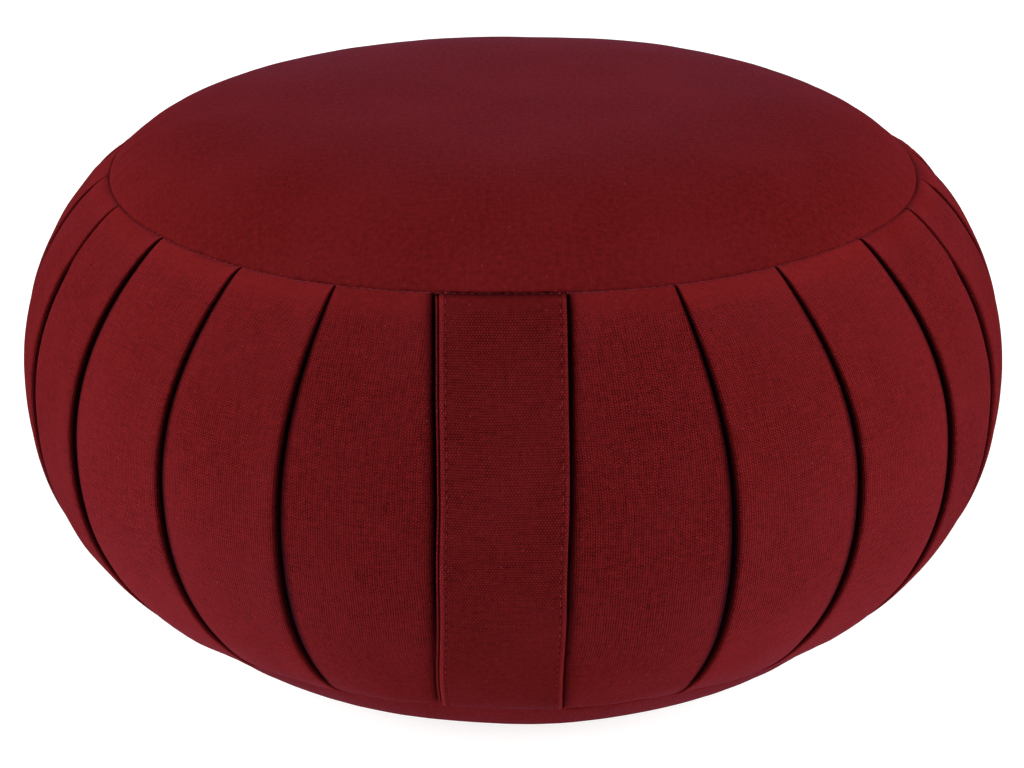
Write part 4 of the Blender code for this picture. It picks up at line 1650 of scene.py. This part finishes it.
@dataclass(frozen=True)
class PhotoCamera:
    """The camera as it was fitted to the photograph."""

    distance: float = 0.92
    elevation: float = 21.63
    azimuth: float = 0.735
    roll: float = -0.024
    aim_height: float = 0.079
    focal_px: float = 2570.7
    centre_px: tuple[float, float] = (1.035, 2.083)

    def build(self) -> bpy.types.Object:
        """Create the camera and make it the scene's own.

        Returns:
            The camera.
        """
        angles = (self.elevation, self.azimuth, self.roll)
        up_angle, side_angle, roll = (math.radians(angle) for angle in angles)
        back = Vector((math.sin(side_angle) * math.cos(up_angle),
                       -math.cos(side_angle) * math.cos(up_angle), math.sin(up_angle)))
        right = (-back).cross(Vector(UP)).normalized()
        up = right.cross(-back)
        x_axis = right * math.cos(roll) + up * math.sin(roll)
        y_axis = up * math.cos(roll) - right * math.sin(roll)
        data = bpy.data.cameras.new("camera")
        data.sensor_width = SENSOR_WIDTH
        data.lens = self.focal_px * SENSOR_WIDTH / IMAGE_WIDTH
        data.shift_x = -self.centre_px[0] / IMAGE_WIDTH
        data.shift_y = self.centre_px[1] / IMAGE_WIDTH
        data.clip_start = 0.05
        data.clip_end = 20.0
        made = add_object("camera", data)
        where = Vector((0, 0, self.aim_height)) + back * self.distance
        turned = Matrix((x_axis, y_axis, back)).transposed().to_4x4()
        made.matrix_world = Matrix.Translation(where) @ turned
        bpy.context.scene.camera = made
        return made


@dataclass(frozen=True)
class SoftBox:
    """A large soft light."""

    name: str
    place: tuple[float, float, float]
    size: tuple[float, float]
    power: float
    colour: str = "ffffff"
    aim_height: float = 0.09            # about the middle of the cushion

    def build(self) -> bpy.types.Object:
        """Create the light, turned to the cushion."""
        data = bpy.data.lights.new(self.name, "AREA")
        data.shape = "RECTANGLE"
        data.size, data.size_y = self.size
        data.energy = self.power
        data.color = linear(self.colour)[:3]
        made = add_object(self.name, data)
        made.location = self.place
        ray = Vector((0, 0, self.aim_height)) - Vector(self.place)
        made.rotation_euler = ray.to_track_quat("-Z", "Y").to_euler()
        return made


@dataclass
class Studio:
    """Pale floor, white surroundings and soft lights."""

    boxes: tuple[SoftBox, ...] = (
        SoftBox("left box", (-1.85, -0.68, 0.9), (1.2, 1.2), 48.5),
        SoftBox("right box", (1.85, -0.68, 0.9), (1.2, 1.2), 46.5),
        SoftBox("low left box", (-1.7, 0.2, 0.4), (1.4, 0.7), 9.0),
        SoftBox("low right box", (1.7, 0.2, 0.4), (1.4, 0.7), 8.0),
        SoftBox("top box", (0.0, 0.8, 1.8), (1.6, 1.2), 12.5),
    )
    surround: float = 0.01              # light from the rest of the room
    floor_size: float = 3.6
    floor_drop: float = 0.0002          # the cushion doesn't flicker against it

    def build(self) -> None:
        """Create the floor, the surroundings and the lights."""
        world = bpy.data.worlds.new("white studio")
        world.use_nodes = True
        tree = world.node_tree
        back = tree.nodes["Background"]
        back.inputs["Color"].default_value = linear("ffffff")
        # A white wall closes the view, but hardly lights the cushion.
        seen = add_node(tree, "ShaderNodeLightPath").outputs["Is Camera Ray"]
        strength = add_node(tree, "ShaderNodeMapRange",
                            {"Value": seen, "To Min": self.surround, "To Max": 1.0})
        tree.links.new(strength.outputs[0], back.inputs["Strength"])
        bpy.context.scene.world = world
        bpy.context.scene.view_settings.view_transform = "Standard"
        half = self.floor_size / 2
        mesh = bpy.data.meshes.new("paper_floor")
        corners = [(x * half, y * half, -self.floor_drop)
                   for x, y in ((-1, -1), (1, -1), (1, 1), (-1, 1))]
        mesh.from_pydata(corners, [], [(0, 1, 2, 3)])
        mesh.materials.append(FloorFinish().material())
        floor = add_object("paper_floor", mesh)
        for box in self.boxes:
            box.build()


# Weave as counted on the photograph: the band's cloth has 13 threads to the
# centimetre across and 21 along, and the strap is cut the other way of the cloth.
SEAM_TO_SEAM = CushionForm().seam_to_seam
BAND_CANVAS = CanvasFinish("dark red cotton canvas, band", 0.00077, 0.00048,
                           calm=(SEAM_TO_SEAM, 0.014, 0.070))
PANEL_CANVAS = CanvasFinish("dark red cotton canvas, round panels", 0.00077, 0.00048,
                            contrast=0.21, mottle=0.50)
STRAP_CANVAS = CanvasFinish("dark red cotton canvas, strap", 0.00046, 0.00080, light="711a1c",
                            ribs=0.6, checker=0.40, streaks=0.8, mottle=0.4,
                            calm=(SEAM_TO_SEAM, 0.010, 0.075))
SEWING_THREAD = ThreadFinish("dark red sewing thread", "8a2a2e", "561418")


def seam_path(form: CushionForm, face: Face) -> Array:
    """Points along the stitches of a seam.

    Args:
        form: the cushion's form.
        face: top or base seam.

    Returns:
        A closed ring of points, in the bottom of the groove.
    """
    sunk_down, sunk_in = 0.00006, 0.00005       # the thread's bed below the groove's cloth
    turn = np.linspace(0.0, math.tau, 900)
    down = SEAM.depth * SEAM.downward + sunk_down
    if face is Face.TOP:
        radius, height = form.top_radius, form.crown_height(1.0, turn) - down
    else:
        radius, height = form.base_radius, form.foot_height(1.0, turn) + down
    return form.place(radius - SEAM.depth * SEAM.inward - sunk_in, height, turn)


def main() -> None:
    """Load the frame, build every piece and set up the studio."""
    logging.basicConfig(level=logging.INFO, format="%(name)s: %(message)s")
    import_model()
    PhotoCamera().build()
    Studio().build()
    form, strap_sizes = CushionForm(), StrapSizes()
    layout = BandLayout(form, PleatPlan(), strap_sizes)
    filling = Filling(layout)
    filling.settle()
    PleatedBand(layout, filling, BAND_CANVAS).build()
    RoundPanel(form, filling, PANEL_CANVAS, Face.TOP, "top_panel").build()
    RoundPanel(form, filling, PANEL_CANVAS, Face.BASE, "base_panel").build()
    strap = CarryStrap(form, strap_sizes, STRAP_CANVAS)
    strap.build()
    StitchRows("strap_stitching", SEWING_THREAD, "strap_canvas",
               pitch=0.0031, length=0.0023, width=0.00036).build(strap.stitch_paths())
    StitchRows("seam_stitching", SEWING_THREAD, "panel_canvas",
               pitch=0.0026, length=0.0018, width=0.00032).build(
        [seam_path(form, face) for face in (Face.TOP, Face.BASE)])


if __name__ == "__main__":
    main()
